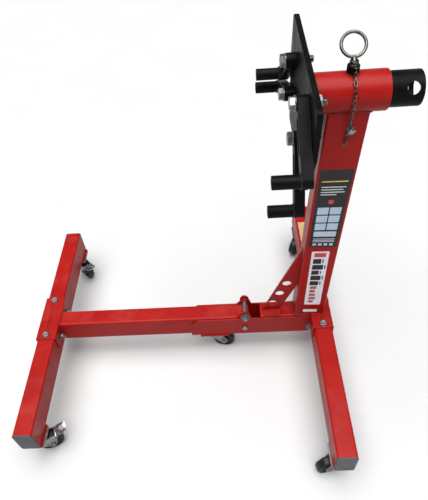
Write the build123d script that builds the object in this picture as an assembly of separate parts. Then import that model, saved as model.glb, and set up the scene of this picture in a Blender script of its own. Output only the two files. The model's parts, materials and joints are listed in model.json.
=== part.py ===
from build123d import *
import os
from math import cos, sin, tan, radians, degrees, atan2, sqrt, pi, acos

os.makedirs("parts", exist_ok=True)

# ---------------------------------------------------------------- driving dimensions (mm)
# Frame: +Z up, floor at z = 0, X along the base beam, y = 0 is the stand's middle plane.
X0 = 5.65                 # puts the overall box's middle at x = 0
X_REAR = X0 + 351.0            # centre line of the rear crossbar
X_FRONT = X0 - 441.0          # centre line of the front crossbar
TUBE_W = 50.0             # width of the base tubes
TUBE_H = 80.0             # height of the crossbar tubes
TUBE_T = 3.0              # wall of the base tubes
Z_BASE = 85.0             # underside of the base tubes = height of a caster with its pad
Z_TOP = Z_BASE + TUBE_H   # top face of the base tubes
REAR_L = 850.0            # length of the rear crossbar
FRONT_L = 700.0           # length of the front crossbar
CH_T = 3.0                # sheet of the folding channel
CH_GAP = 1.0              # side play of the beam in the channel
X_CH0 = X0 - 26.0             # front end of the channel
X_PIV = X0 + 135.0             # fold pivot
Z_PIV = 178.0
BEAM_Z0 = 89.0            # underside of the front beam
BEAM_H = 75.0
X_BEAM1 = X0 + 145.0           # rear end of the front beam
X_STUB0 = X0 + 179.0           # front end of the fixed stub tube
LOCK_Z = 117.0            # fold lock pin height
PIN_D = 12.0              # fold pivot bolt and fold lock pin
COL_W = 50.0              # column tube across the stand
COL_T = 3.5
COL_FOOT = (X0 + 275.0, X0 + 358.0)   # column front and rear edge at z = Z_COL0
COL_HEAD = (X0 + 297.5, X0 + 378.5)   # column front and rear edge at the pivot housing
SADDLE_T = 3.5
SADDLE_L = 146.0
SADDLE_D = 46.0           # how far the saddle's flanges come down
Z_COL0 = Z_TOP + 0.2 + SADDLE_T
Z_AXIS = 851.0            # axis of the rotating head
HOUS_R = 38.0
HOUS_RI = 33.0
X_HOUS0, X_HOUS1 = X0 + 261.0, X0 + 406.0
PIVOT_R = 32.95           # running clearance 0.05 in the housing
PIVOT_RI = 28.0
X_PIVOT1 = X0 + 466.0          # rear end of the pivot tube
X_HANDLE = X0 + 446.0          # handle hole
HANDLE_R = 12.0
HANDLE_TILT = 29.0        # degrees, near side up
X_PLATE1 = X0 + 259.0          # rear face of the head plate
PLATE_T = 10.0
PLATE_HW = 160.0          # half-width of the plate
PLATE_TOP, PLATE_BOT = 76.0, 140.0
PLATE_TAPER = 24.0        # the sides run straight down to here, then taper
PLATE_BOT_HW = 114.0      # half-width at the bottom edge
PLATE_TURN = 4.6          # the head's set angle about its axis, degrees
ARM_BOLT_Y = 77.0
ARM_BOLT_UP, ARM_BOLT_LOW = 30.0, -42.0
ARM_BOLT_R = 7.0
ARM_GAP = 0.4
ARM_D = 20.0              # depth of the arm bars along X
ARM_HW = 14.0             # half-width of the arm bars
ARM_L = 137.0             # bolt to sleeve
SLEEVE_R, SLEEVE_RI = 12.5, 6.5
SLEEVE_OUT = 50.0         # how far the sleeves stand in front of the arms
ARM_ANGLES = {"far_upper": -37.8, "far_lower": -23.0, "near_upper": -143.3, "near_lower": -116.8}
X_LOCK = X0 + 339.0            # ring lock pin
LOCK_R = 6.0
BOSS_R, BOSS_TOP = 11.5, 904.0
RING_R, RING_WIRE = 22.0, 3.0   # centre-line radius and wire radius of the pull ring
RING_LEAN = 45.0
WHEEL_R, WHEEL_W = 31.5, 22.0
TRAIL = 28.0
PAD_T = 4.0
# swivel centre (x, y) and trailing direction in degrees of every caster
CASTERS = {
    "front_near": (X_FRONT + 4.0, -320.0, 25.0),
    "front_far": (X_FRONT + 4.0, 320.0, -45.0),
    "rear_near": (X_REAR, -386.0, 196.0),
    "rear_far": (X_REAR, 386.0, 232.0),
    "centre": (X0 + 42.0, 0.0, -8.0),
}
CHAIN_X = X0 + 340.0           # plane of the retaining chain
LINK_L, LINK_W, LINK_WIRE = 12.0, 7.6, 1.0


# ---------------------------------------------------------------- helpers
def box(x0, x1, y0, y1, z0, z1):
    return Pos((x0 + x1) / 2, (y0 + y1) / 2, (z0 + z1) / 2) * Box(x1 - x0, y1 - y0, z1 - z0)


def cyl_x(r, x0, x1, y, z):
    return Pos((x0 + x1) / 2, y, z) * Rot(0, 90, 0) * Cylinder(r, x1 - x0)


def cyl_y(r, y0, y1, x, z):
    return Pos(x, (y0 + y1) / 2, z) * Rot(90, 0, 0) * Cylinder(r, y1 - y0)


def cyl_z(r, z0, z1, x, y):
    return Pos(x, y, (z0 + z1) / 2) * Cylinder(r, z1 - z0)


def prism_xz(points, y0, y1):
    """Closed polygon in the XZ plane, extruded from y0 to y1."""
    wire = Polyline(*[(x, y0, z) for x, z in points], close=True)
    return extrude(make_face(wire), amount=y1 - y0, dir=(0, 1, 0))


def prism_yz(points, x0, x1):
    wire = Polyline(*[(x0, y, z) for y, z in points], close=True)
    return extrude(make_face(wire), amount=x1 - x0, dir=(1, 0, 0))


def rect_tube_x(x0, x1, yc, z0, z1, w, t, r=6.0):
    sk = RectangleRounded(w, z1 - z0, r) - RectangleRounded(w - 2 * t, z1 - z0 - 2 * t, max(r - t, 1.0))
    pl = Plane(origin=(x0, yc, (z0 + z1) / 2), x_dir=(0, 1, 0), z_dir=(1, 0, 0))
    return extrude(pl * sk, amount=x1 - x0)


def rect_tube_y(y0, y1, xc, z0, z1, w, t, r=6.0):
    sk = RectangleRounded(w, z1 - z0, r) - RectangleRounded(w - 2 * t, z1 - z0 - 2 * t, max(r - t, 1.0))
    pl = Plane(origin=(xc, y1, (z0 + z1) / 2), x_dir=(1, 0, 0), z_dir=(0, 1, 0))
    return extrude(pl * sk, amount=-(y1 - y0))


def hex_z(af, z0, z1, x, y, rot=0.0):
    sk = RegularPolygon(af / 2, 6, major_radius=False, rotation=rot)
    s = extrude(sk, amount=z1 - z0)
    return Pos(x, y, z0) * s


def hex_x(af, x0, x1, y, z, rot=0.0):
    sk = RegularPolygon(af / 2, 6, major_radius=False, rotation=rot)
    return Pos(x0, y, z) * Rot(0, 90, 0) * extrude(sk, amount=x1 - x0)


def hex_y(af, y0, y1, x, z, rot=0.0):
    sk = RegularPolygon(af / 2, 6, major_radius=False, rotation=rot)
    return Pos(x, y1, z) * Rot(90, 0, 0) * extrude(sk, amount=y1 - y0)


def group(*items):
    out = []
    for it in items:
        out += list(it.solids()) if hasattr(it, "solids") else list(it)
    return Compound(children=out)


def save(shape, name):
    if isinstance(shape, (list, tuple)):
        shape = group(*shape)
    solids = shape.solids()
    shape = solids[0] if len(solids) == 1 else Compound(children=list(solids))
    shape.label = name
    export_step(shape, "parts/" + name + ".step")
    print(name, len(solids), round(sum(s.volume for s in solids)))


# ---------------------------------------------------------------- base: rear crossbar and saddle
VB_Y = 61.0               # vertical saddle bolts
HB_Y = 44.0               # horizontal saddle bolts
HB_Z = 132.0
SB_R = 5.0
BOLT_FIT = 0.25


def crossbar(xc, length, pads):
    s = rect_tube_y(-length / 2, length / 2, xc, Z_BASE, Z_TOP, TUBE_W, TUBE_T)
    for cx, cy in pads:
        s = s + box(cx - 24.5, cx + 24.5, cy - 30, cy + 30, Z_BASE - PAD_T, Z_BASE + 0.2)
    for sy in (-1, 1):
        s = s - cyl_z(SB_R + BOLT_FIT, Z_BASE - 10, Z_TOP + 10, xc, sy * VB_Y)
        s = s - cyl_x(SB_R + BOLT_FIT, xc - 60, xc + 60, sy * HB_Y, HB_Z)
    return s


def end_caps(xc, length):
    out = []
    for sy in (-1, 1):
        y0 = sy * length / 2
        face = Pos(xc, y0 + sy * 0.2, (Z_BASE + Z_TOP) / 2)
        flange = extrude(Plane(origin=(xc, y0 + (0.15 if sy > 0 else -0.15), (Z_BASE + Z_TOP) / 2),
                               x_dir=(1, 0, 0), z_dir=(0, sy, 0)) * RectangleRounded(TUBE_W, TUBE_H, 6), amount=3.0)
        plug = extrude(Plane(origin=(xc, y0 + (0.15 if sy > 0 else -0.15), (Z_BASE + Z_TOP) / 2),
                             x_dir=(1, 0, 0), z_dir=(0, sy, 0)) * RectangleRounded(TUBE_W - 2 * TUBE_T - 0.6, TUBE_H - 2 * TUBE_T - 0.6, 3), amount=-16.0)
        cap = flange + plug
        edge = cap.faces().sort_by(Axis.Y)[-1 if sy > 0 else 0].edges()
        try:
            cap = fillet(edge, 1.2)
        except Exception:
            pass
        out.append(cap)
    return out


def saddle(xc):
    g = 0.2
    hw = TUBE_W / 2 + g
    z0 = Z_TOP - SADDLE_D
    outer = box(xc - hw - SADDLE_T, xc + hw + SADDLE_T, -SADDLE_L / 2, SADDLE_L / 2, z0, Z_TOP + g + SADDLE_T)
    inner = box(xc - hw, xc + hw, -SADDLE_L, SADDLE_L, z0 - 5, Z_TOP + g)
    s = outer - inner
    edges = [e for e in s.edges().filter_by(Axis.Y) if e.center().Z > Z_TOP + g + SADDLE_T - 0.1]
    s = fillet(edges, 3.0)
    for sy in (-1, 1):
        s = s - cyl_z(SB_R + BOLT_FIT, Z_TOP - 10, Z_TOP + 10, xc, sy * VB_Y)
        s = s - cyl_x(SB_R + BOLT_FIT, xc - 60, xc + 60, sy * HB_Y, HB_Z)
    return s


def saddle_bolts(xc, inward):
    """Two vertical and two horizontal hex bolts; the horizontal ones have their nuts on the inward side."""
    out = []
    top = Z_TOP + 0.2 + SADDLE_T
    for sy in (-1, 1):
        b = cyl_z(SB_R, Z_BASE - 14, top + 1, xc, sy * VB_Y) + cyl_z(9.5, top + 0.1, top + 1.6, xc, sy * VB_Y) \
            + hex_z(16, top + 1.6, top + 8.0, xc, sy * VB_Y, 12 if sy > 0 else 25)
        out.append(b)
        face = TUBE_W / 2 + 0.2 + SADDLE_T
        s = -inward
        x_head = xc + s * (face + 0.1)
        x_tail = xc - s * (face + 15)
        a, c = sorted((x_head + s * 1.0, x_tail))
        b = cyl_x(SB_R, a, c, sy * HB_Y, HB_Z)
        a, c = sorted((x_head, x_head + s * 1.5))
        b = b + cyl_x(9.5, a, c, sy * HB_Y, HB_Z)
        a, c = sorted((x_head + s * 1.5, x_head + s * 7.5))
        b = b + hex_x(16, a, c, sy * HB_Y, HB_Z, 10)
        out.append(b)
    return out


def saddle_nuts(xc, inward):
    out = []
    for sy in (-1, 1):
        w = cyl_z(9.5, Z_BASE - 1.7, Z_BASE - 0.2, xc, sy * VB_Y) + hex_z(16, Z_BASE - 9.7, Z_BASE - 1.7, xc, sy * VB_Y, 5)
        out.append(w - cyl_z(SB_R + 0.02, Z_BASE - 20, Z_BASE + 5, xc, sy * VB_Y))
        face = TUBE_W / 2 + 0.2 + SADDLE_T
        a, c = sorted((xc + inward * (face + 0.1), xc + inward * (face + 1.6)))
        w = cyl_x(9.5, a, c, sy * HB_Y, HB_Z)
        a, c = sorted((xc + inward * (face + 1.6), xc + inward * (face + 9.6)))
        w = w + hex_x(16, a, c, sy * HB_Y, HB_Z, 20)
        out.append(w - cyl_x(SB_R + 0.02, xc - 80, xc + 80, sy * HB_Y, HB_Z))
    return out


rear_pads = [CASTERS["rear_near"][:2], CASTERS["rear_far"][:2]]
front_pads = [CASTERS["front_near"][:2], CASTERS["front_far"][:2]]
save(crossbar(X_REAR, REAR_L, rear_pads), "rear_crossbar")
save(end_caps(X_REAR, REAR_L), "rear_end_caps")
save(saddle(X_REAR), "rear_saddle")
save(saddle_bolts(X_REAR, -1), "rear_saddle_bolts")
save(saddle_nuts(X_REAR, -1), "rear_saddle_nuts")
save(crossbar(X_FRONT, FRONT_L, front_pads), "front_crossbar")
save(end_caps(X_FRONT, FRONT_L), "front_end_caps")
save(saddle(X_FRONT), "front_saddle")
save(saddle_bolts(X_FRONT, 1), "front_saddle_bolts")
save(saddle_nuts(X_FRONT, 1), "front_saddle_nuts")

# ---------------------------------------------------------------- folding channel, stub and pivot
CH_YI = TUBE_W / 2 + CH_GAP
CH_YO = CH_YI + CH_T
X_CH1 = X_REAR - TUBE_W / 2 - 0.2 - SADDLE_T - 0.2
Z_CHW = 160.0
ch = box(X_CH0, X_CH1, -CH_YO, CH_YO, Z_BASE, Z_CHW) - box(X_CH0 - 5, X_CH1 + 5, -CH_YI, CH_YI, Z_BASE + CH_T, Z_CHW + 5)
low = [e for e in ch.edges().filter_by(Axis.X) if e.center().Z < Z_BASE + 0.1]
ch = fillet(low, 3.5)
# front corners of the side walls cut back
for sy in (-1, 1):
    y0, y1 = sorted((sy * (CH_YI - 1), sy * (CH_YO + 1)))
    ch = ch - prism_xz([(X_CH0 - 1, Z_CHW + 1), (X_CH0 + 22, Z_CHW + 1), (X_CH0 - 1, Z_CHW - 26)], y0, y1)
# rounded ears that carry the pivot bolt
for sy in (-1, 1):
    y0, y1 = sorted((sy * CH_YI, sy * CH_YO))
    ear = prism_xz([(X_PIV - 16, Z_CHW - 6), (X_PIV + 22, Z_CHW - 6), (X_PIV + 12.5, Z_PIV + 6), (X_PIV - 12.5, Z_PIV + 6)], y0, y1) \
        + cyl_y(13.0, y0, y1, X_PIV, Z_PIV + 5)
    ch = ch + ear
ch = ch - cyl_y(PIN_D / 2 + 0.1, -60, 60, X_PIV, Z_PIV)
ch = ch - cyl_y(PIN_D / 2 + 0.1, -60, 60, X_PIV - 2, LOCK_Z)
cpx, cpy, _ = CASTERS["centre"]
ch = ch + box(cpx - 42, cpx + 42, -32, 32, Z_BASE - PAD_T, Z_BASE + 0.5)
save(ch, "base_channel")

stub = rect_tube_x(X_STUB0, X_CH1 - 0.2, 0, Z_BASE + CH_T + 0.2, Z_TOP, TUBE_W, TUBE_T)
save(stub, "stub_tube")

pb = cyl_y(PIN_D / 2, -CH_YO - 17, CH_YO + 1, X_PIV, Z_PIV) + cyl_y(10.5, CH_YO + 0.1, CH_YO + 1.8, X_PIV, Z_PIV) \
    + hex_y(18, CH_YO + 1.8, CH_YO + 9.0, X_PIV, Z_PIV, 8)
save(pb, "fold_pivot_bolt")
pn = cyl_y(11.5, -CH_YO - 2.0, -CH_YO - 0.1, X_PIV, Z_PIV) + hex_y(18, -CH_YO - 12.0, -CH_YO - 2.0, X_PIV, Z_PIV, 14)
pn = pn - cyl_y(PIN_D / 2 + 0.02, -80, 0, X_PIV, Z_PIV)
save(pn, "fold_pivot_nut")

lp = cyl_y(PIN_D / 2, -CH_YO - 1, CH_YO + 9, X_PIV - 2, LOCK_Z) + cyl_y(8.5, -CH_YO - 5.0, -CH_YO - 0.3, X_PIV - 2, LOCK_Z)
lp = chamfer(lp.edges().filter_by(GeomType.CIRCLE).sort_by(Axis.Y)[-1], 1.8)
lp = fillet(lp.edges().filter_by(GeomType.CIRCLE).sort_by(Axis.Y)[0], 1.8)
save(lp, "fold_lock_pin")

# ---------------------------------------------------------------- front leg
beam = rect_tube_x(X_FRONT + TUBE_W / 2 + 0.2 + SADDLE_T + 0.2, X_BEAM1, 0, BEAM_Z0, BEAM_Z0 + BEAM_H, TUBE_W, TUBE_T)
# open notch in the side walls: the lock pin's path about the fold pivot
rl = sqrt((Z_PIV - LOCK_Z) ** 2 + 4.0)
a0 = degrees(atan2(LOCK_Z - Z_PIV, -2.0))
notch = None
for k in range(0, 15):
    a = radians(a0 + k * 2.0)
    c = cyl_y(PIN_D / 2 + 0.9, -30, 30, X_PIV + rl * cos(a), Z_PIV + rl * sin(a))
    notch = c if notch is None else notch + c
beam = beam - notch
save(beam, "front_beam")
LUG_T = 4.0
lugs = []
for sy in (-1, 1):
    y0, y1 = sorted((sy * (TUBE_W / 2 - 0.6), sy * (TUBE_W / 2 - 0.6 - LUG_T)))
    zt = BEAM_Z0 + BEAM_H + 0.1
    g = prism_xz([(X_PIV - 26, zt), (X_BEAM1 - 1, zt), (X_PIV + 10, Z_PIV), (X_PIV + 6, Z_PIV + 8), (X_PIV - 8, Z_PIV + 8)], y0, y1) \
        + cyl_y(11.0, y0, y1, X_PIV, Z_PIV + 0.5)
    g = g - box(X_PIV - 60, X_PIV + 60, y0 - 1, y1 + 1, zt - 30, zt)
    g = g - cyl_y(PIN_D / 2 + 0.08, -60, 60, X_PIV, Z_PIV)
    lugs.append(g)
save(lugs, "front_beam_lugs")

# ---------------------------------------------------------------- column, brace, housing
zf, xf0, xf1 = Z_COL0, COL_FOOT[0], COL_FOOT[1]
zh = 828.0
xh0, xh1 = COL_HEAD
col_o = prism_xz([(xf0, zf), (xf1, zf), (xh1, zh), (xh0, zh)], -COL_W / 2, COL_W / 2)
long_e = [e for e in col_o.edges() if abs(e.tangent_at(0.5).Z) > 0.9]
col_o = fillet(long_e, 4.5)
t = COL_T
col_i = prism_xz([(xf0 + t, zf - 5), (xf1 - t, zf - 5), (xh1 - t, zh + 5), (xh0 + t, zh + 5)], -COL_W / 2 + t, COL_W / 2 - t)
column = col_o - col_i
column = column - cyl_x(HOUS_R + 0.15, X_HOUS0 - 40, X_HOUS1 + 60, 0, Z_AXIS)
foot_x0, foot_x1 = X_REAR - TUBE_W / 2 - 0.2 - SADDLE_T, X_REAR + TUBE_W / 2 + 0.2 + SADDLE_T
column = column - box(foot_x0 - 200, foot_x0 - 0.0, -60, 60, 0, zf)
save(column, "column")

# the part of the column's foot in front of the saddle stands on the stub tube
BR_T, BR_Y0 = 6.0, -5.0                 # strip thickness and its near face
BR_X0, BR_X1 = X0 + 184.5, X0 + 232.5   # the strip's foot on the stub
BR_LEAN_F, BR_LEAN_R = 0.382, 0.400     # lean of its front and rear edge
BR_HOLE_R = 12.5
BR_HOLES = ((219.8, 200.0), (238.6, 242.8), (256.4, 285.6))
z_ft = Z_TOP + 0.2
col_front = lambda z: xf0 + (z - zf) * (xh0 - xf0) / (zh - zf)
# a flat strip in the middle plane, cut to the column's front, with a foot flange bent onto the stub
def meet(x, slope):
    """Height at which a line that leans by slope from (x, z_ft) meets the column's front."""
    z = z_ft
    while x + (z - z_ft) * slope < col_front(z) - 0.3:
        z += 0.05
    return x + (z - z_ft) * slope, z


xt_b, zt_b = meet(BR_X0, BR_LEAN_F)
xl_b, zl_b = meet(BR_X1, BR_LEAN_R)
br = prism_xz([(BR_X0, z_ft), (BR_X1, z_ft), (xl_b, zl_b), (xt_b, zt_b)], BR_Y0, BR_Y0 + BR_T)
foot = box(BR_X0 + 2, BR_X1 + 4, -23.5, BR_Y0 + 0.5, z_ft, z_ft + 4.5)
foot = chamfer([e for e in foot.edges() if abs(e.tangent_at(0.5).Z) > 0.9 and e.center().Y < -20], 7.0)
br = br + foot
for hx, hz in BR_HOLES:
    br = br - cyl_y(BR_HOLE_R, -40, 40, hx, hz)
save(br, "gusset_brace")

hous = cyl_x(HOUS_R, X_HOUS0, X_HOUS1, 0, Z_AXIS) - cyl_x(HOUS_RI, X_HOUS0 - 5, X_HOUS1 + 5, 0, Z_AXIS)
rim = [e for e in hous.edges().filter_by(GeomType.CIRCLE) if abs(e.radius - HOUS_R) < 0.01]
hous = fillet(rim, 1.2)
hous = hous - cyl_z(LOCK_R + 0.1, Z_AXIS, Z_AXIS + 60, X_LOCK, 0)
save(hous, "pivot_housing")
boss = cyl_z(BOSS_R, Z_AXIS + 20, BOSS_TOP, X_LOCK, 0)
boss = fillet(boss.edges().filter_by(GeomType.CIRCLE).sort_by(Axis.Z)[-1], 1.5)
boss = boss - cyl_x(HOUS_R + 0.15, X_HOUS0 - 20, X_HOUS1 + 20, 0, Z_AXIS) - cyl_z(LOCK_R + 0.1, 0, 1000, X_LOCK, 0)
save(boss, "lock_boss")

# ---------------------------------------------------------------- ring lock pin
pin = cyl_z(LOCK_R, Z_AXIS + PIVOT_R + 0.5, BOSS_TOP + 3.0, X_LOCK, 0) + cyl_z(8.0, BOSS_TOP + 2.6, BOSS_TOP + 8.6, X_LOCK, 0)
pin = fillet(pin.edges().filter_by(GeomType.CIRCLE).sort_by(Axis.Z)[-1], 1.5)
pin = chamfer(pin.edges().filter_by(GeomType.CIRCLE).sort_by(Axis.Z)[0], 0.8)
neck_top = (X_LOCK, 0, BOSS_TOP + 8.6)
# short tapered neck in the ring's plane
lean = radians(RING_LEAN)
ux, uy, uz = 0.0, sin(lean), cos(lean)
base = Vector(X_LOCK, 0, BOSS_TOP + 5.5)
neck_pl = Plane(origin=base, z_dir=(ux, uy, uz), x_dir=(1, 0, 0))
neck = extrude(neck_pl * Circle(5.0), amount=9.0, taper=12)
pin = pin + neck
save(pin, "lock_pin")
cen = base + Vector(ux, uy, uz) * (8.0 + RING_R)
# the ring: circle in the plane spanned by X and the lean direction, with its base cut by the neck
ring_pl = Plane(origin=cen, x_dir=(1, 0, 0), z_dir=(0, cos(lean), -sin(lean)))
ring = ring_pl * Torus(RING_R, RING_WIRE)
ring = ring - neck_pl * Pos(0, 0, -1) * Cone(5.45, 3.2, 10.5, align=(Align.CENTER, Align.CENTER, Align.MIN)) - cyl_z(8.1, BOSS_TOP, BOSS_TOP + 8.75, X_LOCK, 0)
save(ring, "pull_ring")
print("ring centre", cen)

# ---------------------------------------------------------------- rotating head
pt = cyl_x(PIVOT_R, X_PLATE1 + 0.2, X_PIVOT1, 0, Z_AXIS)
rim = [e for e in pt.edges().filter_by(GeomType.CIRCLE) if e.center().X > X_PIVOT1 - 0.1]
pt = fillet(rim, 1.0)
pt = pt - cyl_x(PIVOT_RI, X_PLATE1 - 5, X_PIVOT1 + 5, 0, Z_AXIS)
ht = radians(HANDLE_TILT)
pt = pt - Pos(X_HANDLE, 0, Z_AXIS) * Rot(90 - HANDLE_TILT, 0, 0) * Cylinder(HANDLE_R, 120)
save(pt, "pivot_tube")

x0 = X_PLATE1 - PLATE_T
tr = radians(PLATE_TURN)
corners = [(-PLATE_HW, PLATE_TOP), (PLATE_HW, PLATE_TOP), (PLATE_HW, -PLATE_TAPER), (PLATE_BOT_HW, -PLATE_BOT),
           (-PLATE_BOT_HW, -PLATE_BOT), (-PLATE_HW, -PLATE_TAPER)]
plate = prism_yz([(y * cos(tr) - z * sin(tr), Z_AXIS + y * sin(tr) + z * cos(tr)) for y, z in corners], x0, X_PLATE1)
plate = fillet([e for e in plate.edges() if abs(e.tangent_at(0.5).X) > 0.9], 10.0)
plate = chamfer(plate.faces().sort_by(Axis.X)[0].edges(), 0.8)
BOLTS = {"far_upper": (ARM_BOLT_Y, ARM_BOLT_UP), "far_lower": (ARM_BOLT_Y, ARM_BOLT_LOW),
         "near_upper": (-ARM_BOLT_Y, ARM_BOLT_UP), "near_lower": (-ARM_BOLT_Y, ARM_BOLT_LOW)}
for by, bz in BOLTS.values():
    plate = plate - cyl_x(ARM_BOLT_R + 0.2, x0 - 5, X_PLATE1 + 5, by, Z_AXIS + bz)
save(plate, "head_plate")

XA1 = x0 - ARM_GAP                # rear face of the arms
XA0 = XA1 - ARM_D                 # front face of the arms
bolts, nuts = [], []
for k, (by, bz) in enumerate(BOLTS.values()):
    y, z = by, Z_AXIS + bz
    b = cyl_x(ARM_BOLT_R, XA0 - 3.0, X_PLATE1 + 22.0, y, z) + cyl_x(14.0, XA0 - 3.0, XA0 - 0.5, y, z) \
        + hex_x(22, XA0 - 12.0, XA0 - 3.0, y, z, 33 - 22 * k)
    b = chamfer(b.edges().filter_by(GeomType.CIRCLE).sort_by(Axis.X)[-1], 1.0)
    bolts.append(b)
    w = cyl_x(14.0, X_PLATE1 + 0.1, X_PLATE1 + 2.6, y, z) + hex_x(22, X_PLATE1 + 2.6, X_PLATE1 + 14.0, y, z, 51 - 31 * k)
    nuts.append(w - cyl_x(ARM_BOLT_R + 0.02, X_PLATE1 - 10, X_PLATE1 + 60, y, z))
save(bolts, "arm_bolts")
save(nuts, "arm_nuts")


def arm(name):
    y, z = BOLTS[name][0], Z_AXIS + BOLTS[name][1]
    a = ARM_ANGLES[name]
    flat = Pos(ARM_L / 2, 0) * SlotCenterToCenter(ARM_L, 2 * ARM_HW)
    pl = Plane(origin=(XA0, y, z), x_dir=(0, cos(radians(a)), sin(radians(a))), z_dir=(1, 0, 0))
    bar = extrude(pl * flat, amount=ARM_D)
    bar = chamfer(bar.faces().sort_by(Axis.X)[0].edges(), 1.0)
    ey, ez = y + ARM_L * cos(radians(a)), z + ARM_L * sin(radians(a))
    bar = bar - cyl_x(ARM_BOLT_R + 0.1, XA0 - 20, XA1 + 20, y, z)
    bar = bar - cyl_x(SLEEVE_R + 0.05, XA0 - 20, XA1 + 20, ey, ez)
    # long adjusting slot between the bolt and the sleeve
    slot = Pos(ARM_L * 0.44, 0) * SlotCenterToCenter(52, 14.6)
    bar = bar - extrude(pl * slot, amount=ARM_D + 1)
    sl = cyl_x(SLEEVE_R, XA0 - SLEEVE_OUT, XA1, ey, ez)
    sl = chamfer(sl.edges().filter_by(GeomType.CIRCLE).sort_by(Axis.X)[0], 0.8)
    sl = sl - cyl_x(SLEEVE_RI, XA0 - SLEEVE_OUT - 5, XA1 + 5, ey, ez)
    save(bar, "arm_" + name)
    save(sl, "sleeve_" + name)
    print("sleeve", name, round(ey, 2), round(ez, 2), XA0 - SLEEVE_OUT, XA1)


for arm_name in BOLTS:
    arm(arm_name)

# ---------------------------------------------------------------- casters
Z_PADB = Z_BASE - PAD_T           # underside of the welded pads
Z_PLT0 = Z_PADB - 3.2
Z_CROWN1 = 69.0                   # top of the fork's crown
Z_CROWN0 = 66.0
LEG_T = 2.6
LEG_Y = WHEEL_W / 2 + 1.6


def caster_plate(cx, cy, a):
    along_x = a
    w, h = (56.0, 58.0) if not a else (64.0, 56.0)
    pl = Pos(cx, cy, (Z_PLT0 + Z_PADB - 0.1) / 2) * extrude(RectangleRounded(w, h, 6), amount=(Z_PADB - 0.1 - Z_PLT0) / 2, both=True)
    race = Pos(cx, cy, Z_CROWN1 + 0.4) * extrude(Circle(17), amount=Z_PLT0 - Z_CROWN1 - 0.4, taper=-18)
    s = pl + race
    for ux_ in (-1, 1):
        for uy_ in (-1, 1):
            px, py = cx + ux_ * (w / 2 - 8), cy + uy_ * (h / 2 - 8)
            s = s - cyl_z(3.3, Z_PLT0 - 5, Z_PADB + 5, px, py)
    return s


def caster_bolts(cx, cy, a):
    w, h = (56.0, 58.0) if not a else (64.0, 56.0)
    out = []
    for ux_ in (-1, 1):
        for uy_ in (-1, 1):
            px, py = cx + ux_ * (w / 2 - 8), cy + uy_ * (h / 2 - 8)
            b = cyl_z(3.2, Z_PLT0 - 0.5, Z_PADB - 0.05, px, py) + hex_z(10, Z_PLT0 - 4.2, Z_PLT0 - 0.05, px, py, 15 * ux_ + 8 * uy_)
            out.append(b)
    return out


def fork_shape():
    """Fork at the origin of the swivel, trailing towards +X."""
    crown = extrude(Pos(0, 0) * Circle(20.0), amount=Z_CROWN1 - Z_CROWN0)
    crown = Pos(0, 0, Z_CROWN0) * crown
    crown = crown + box(-14, 20, -LEG_Y - LEG_T, LEG_Y + LEG_T, Z_CROWN0, Z_CROWN1)
    s = crown
    for sy in (-1, 1):
        y0, y1 = sorted((sy * LEG_Y, sy * (LEG_Y + LEG_T)))
        leg = prism_xz([(-14, Z_CROWN1), (20, Z_CROWN1), (TRAIL + 12, WHEEL_R + 6), (TRAIL + 9, WHEEL_R - 6), (TRAIL - 9, WHEEL_R - 7), (-9, Z_CROWN0 - 16)], y0, y1) \
            + cyl_y(10.5, y0, y1, TRAIL, WHEEL_R)
        s = s + leg
    s = s - cyl_y(4.1, -40, 40, TRAIL, WHEEL_R)
    top = [e for e in s.edges().filter_by(Axis.X) if e.center().Z > Z_CROWN1 - 0.1 and abs(abs(e.center().Y) - LEG_Y - LEG_T) < 0.1]
    try:
        s = fillet(top, 2.0)
    except Exception:
        pass
    return s


def wheel_shape():
    pts = [(4.06, -11.0), (9.0, -11.0), (10.5, -8.0), (22.0, -8.0), (24.5, -10.2), (27.5, -11.0), (30.3, -9.6), (31.5, -6.5),
           (31.5, 6.5), (30.3, 9.6), (27.5, 11.0), (24.5, 10.2), (22.0, 8.0), (10.5, 8.0), (9.0, 11.0), (4.06, 11.0)]
    k = WHEEL_R / 31.5
    wire = Polyline(*[(r * k if r > 5 else r, 0, y) for r, y in pts], close=True)
    w = revolve(make_face(wire), Axis.Z, 360)
    return Pos(TRAIL, 0, WHEEL_R) * Rot(90, 0, 0) * w


def axle_shape():
    a = cyl_y(4.0, -LEG_Y - LEG_T - 5.5, LEG_Y + LEG_T + 0.6, TRAIL, WHEEL_R) + cyl_y(6.0, LEG_Y + LEG_T + 0.1, LEG_Y + LEG_T + 4.0, TRAIL, WHEEL_R) \
        + hex_y(11, -LEG_Y - LEG_T - 4.6, -LEG_Y - LEG_T - 0.1, TRAIL, WHEEL_R)
    return a


BRAKE_X, BRAKE_Z = TRAIL + 16.0, 62.0


def braked(fork_solid):
    """Adds the rear lugs and the rivet that carry the foot brake."""
    for sy in (-1, 1):
        y0, y1 = sorted((sy * LEG_Y, sy * (LEG_Y + LEG_T)))
        fork_solid = fork_solid + prism_xz([(18, 68.4), (BRAKE_X + 2, 66.6), (BRAKE_X + 4.6, 62), (BRAKE_X + 1, 57.6), (TRAIL + 12, WHEEL_R + 5), (20, 50)], y0, y1)
    return fork_solid + cyl_y(2.0, -LEG_Y - LEG_T - 1.2, LEG_Y + LEG_T + 1.2, BRAKE_X, BRAKE_Z)


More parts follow.
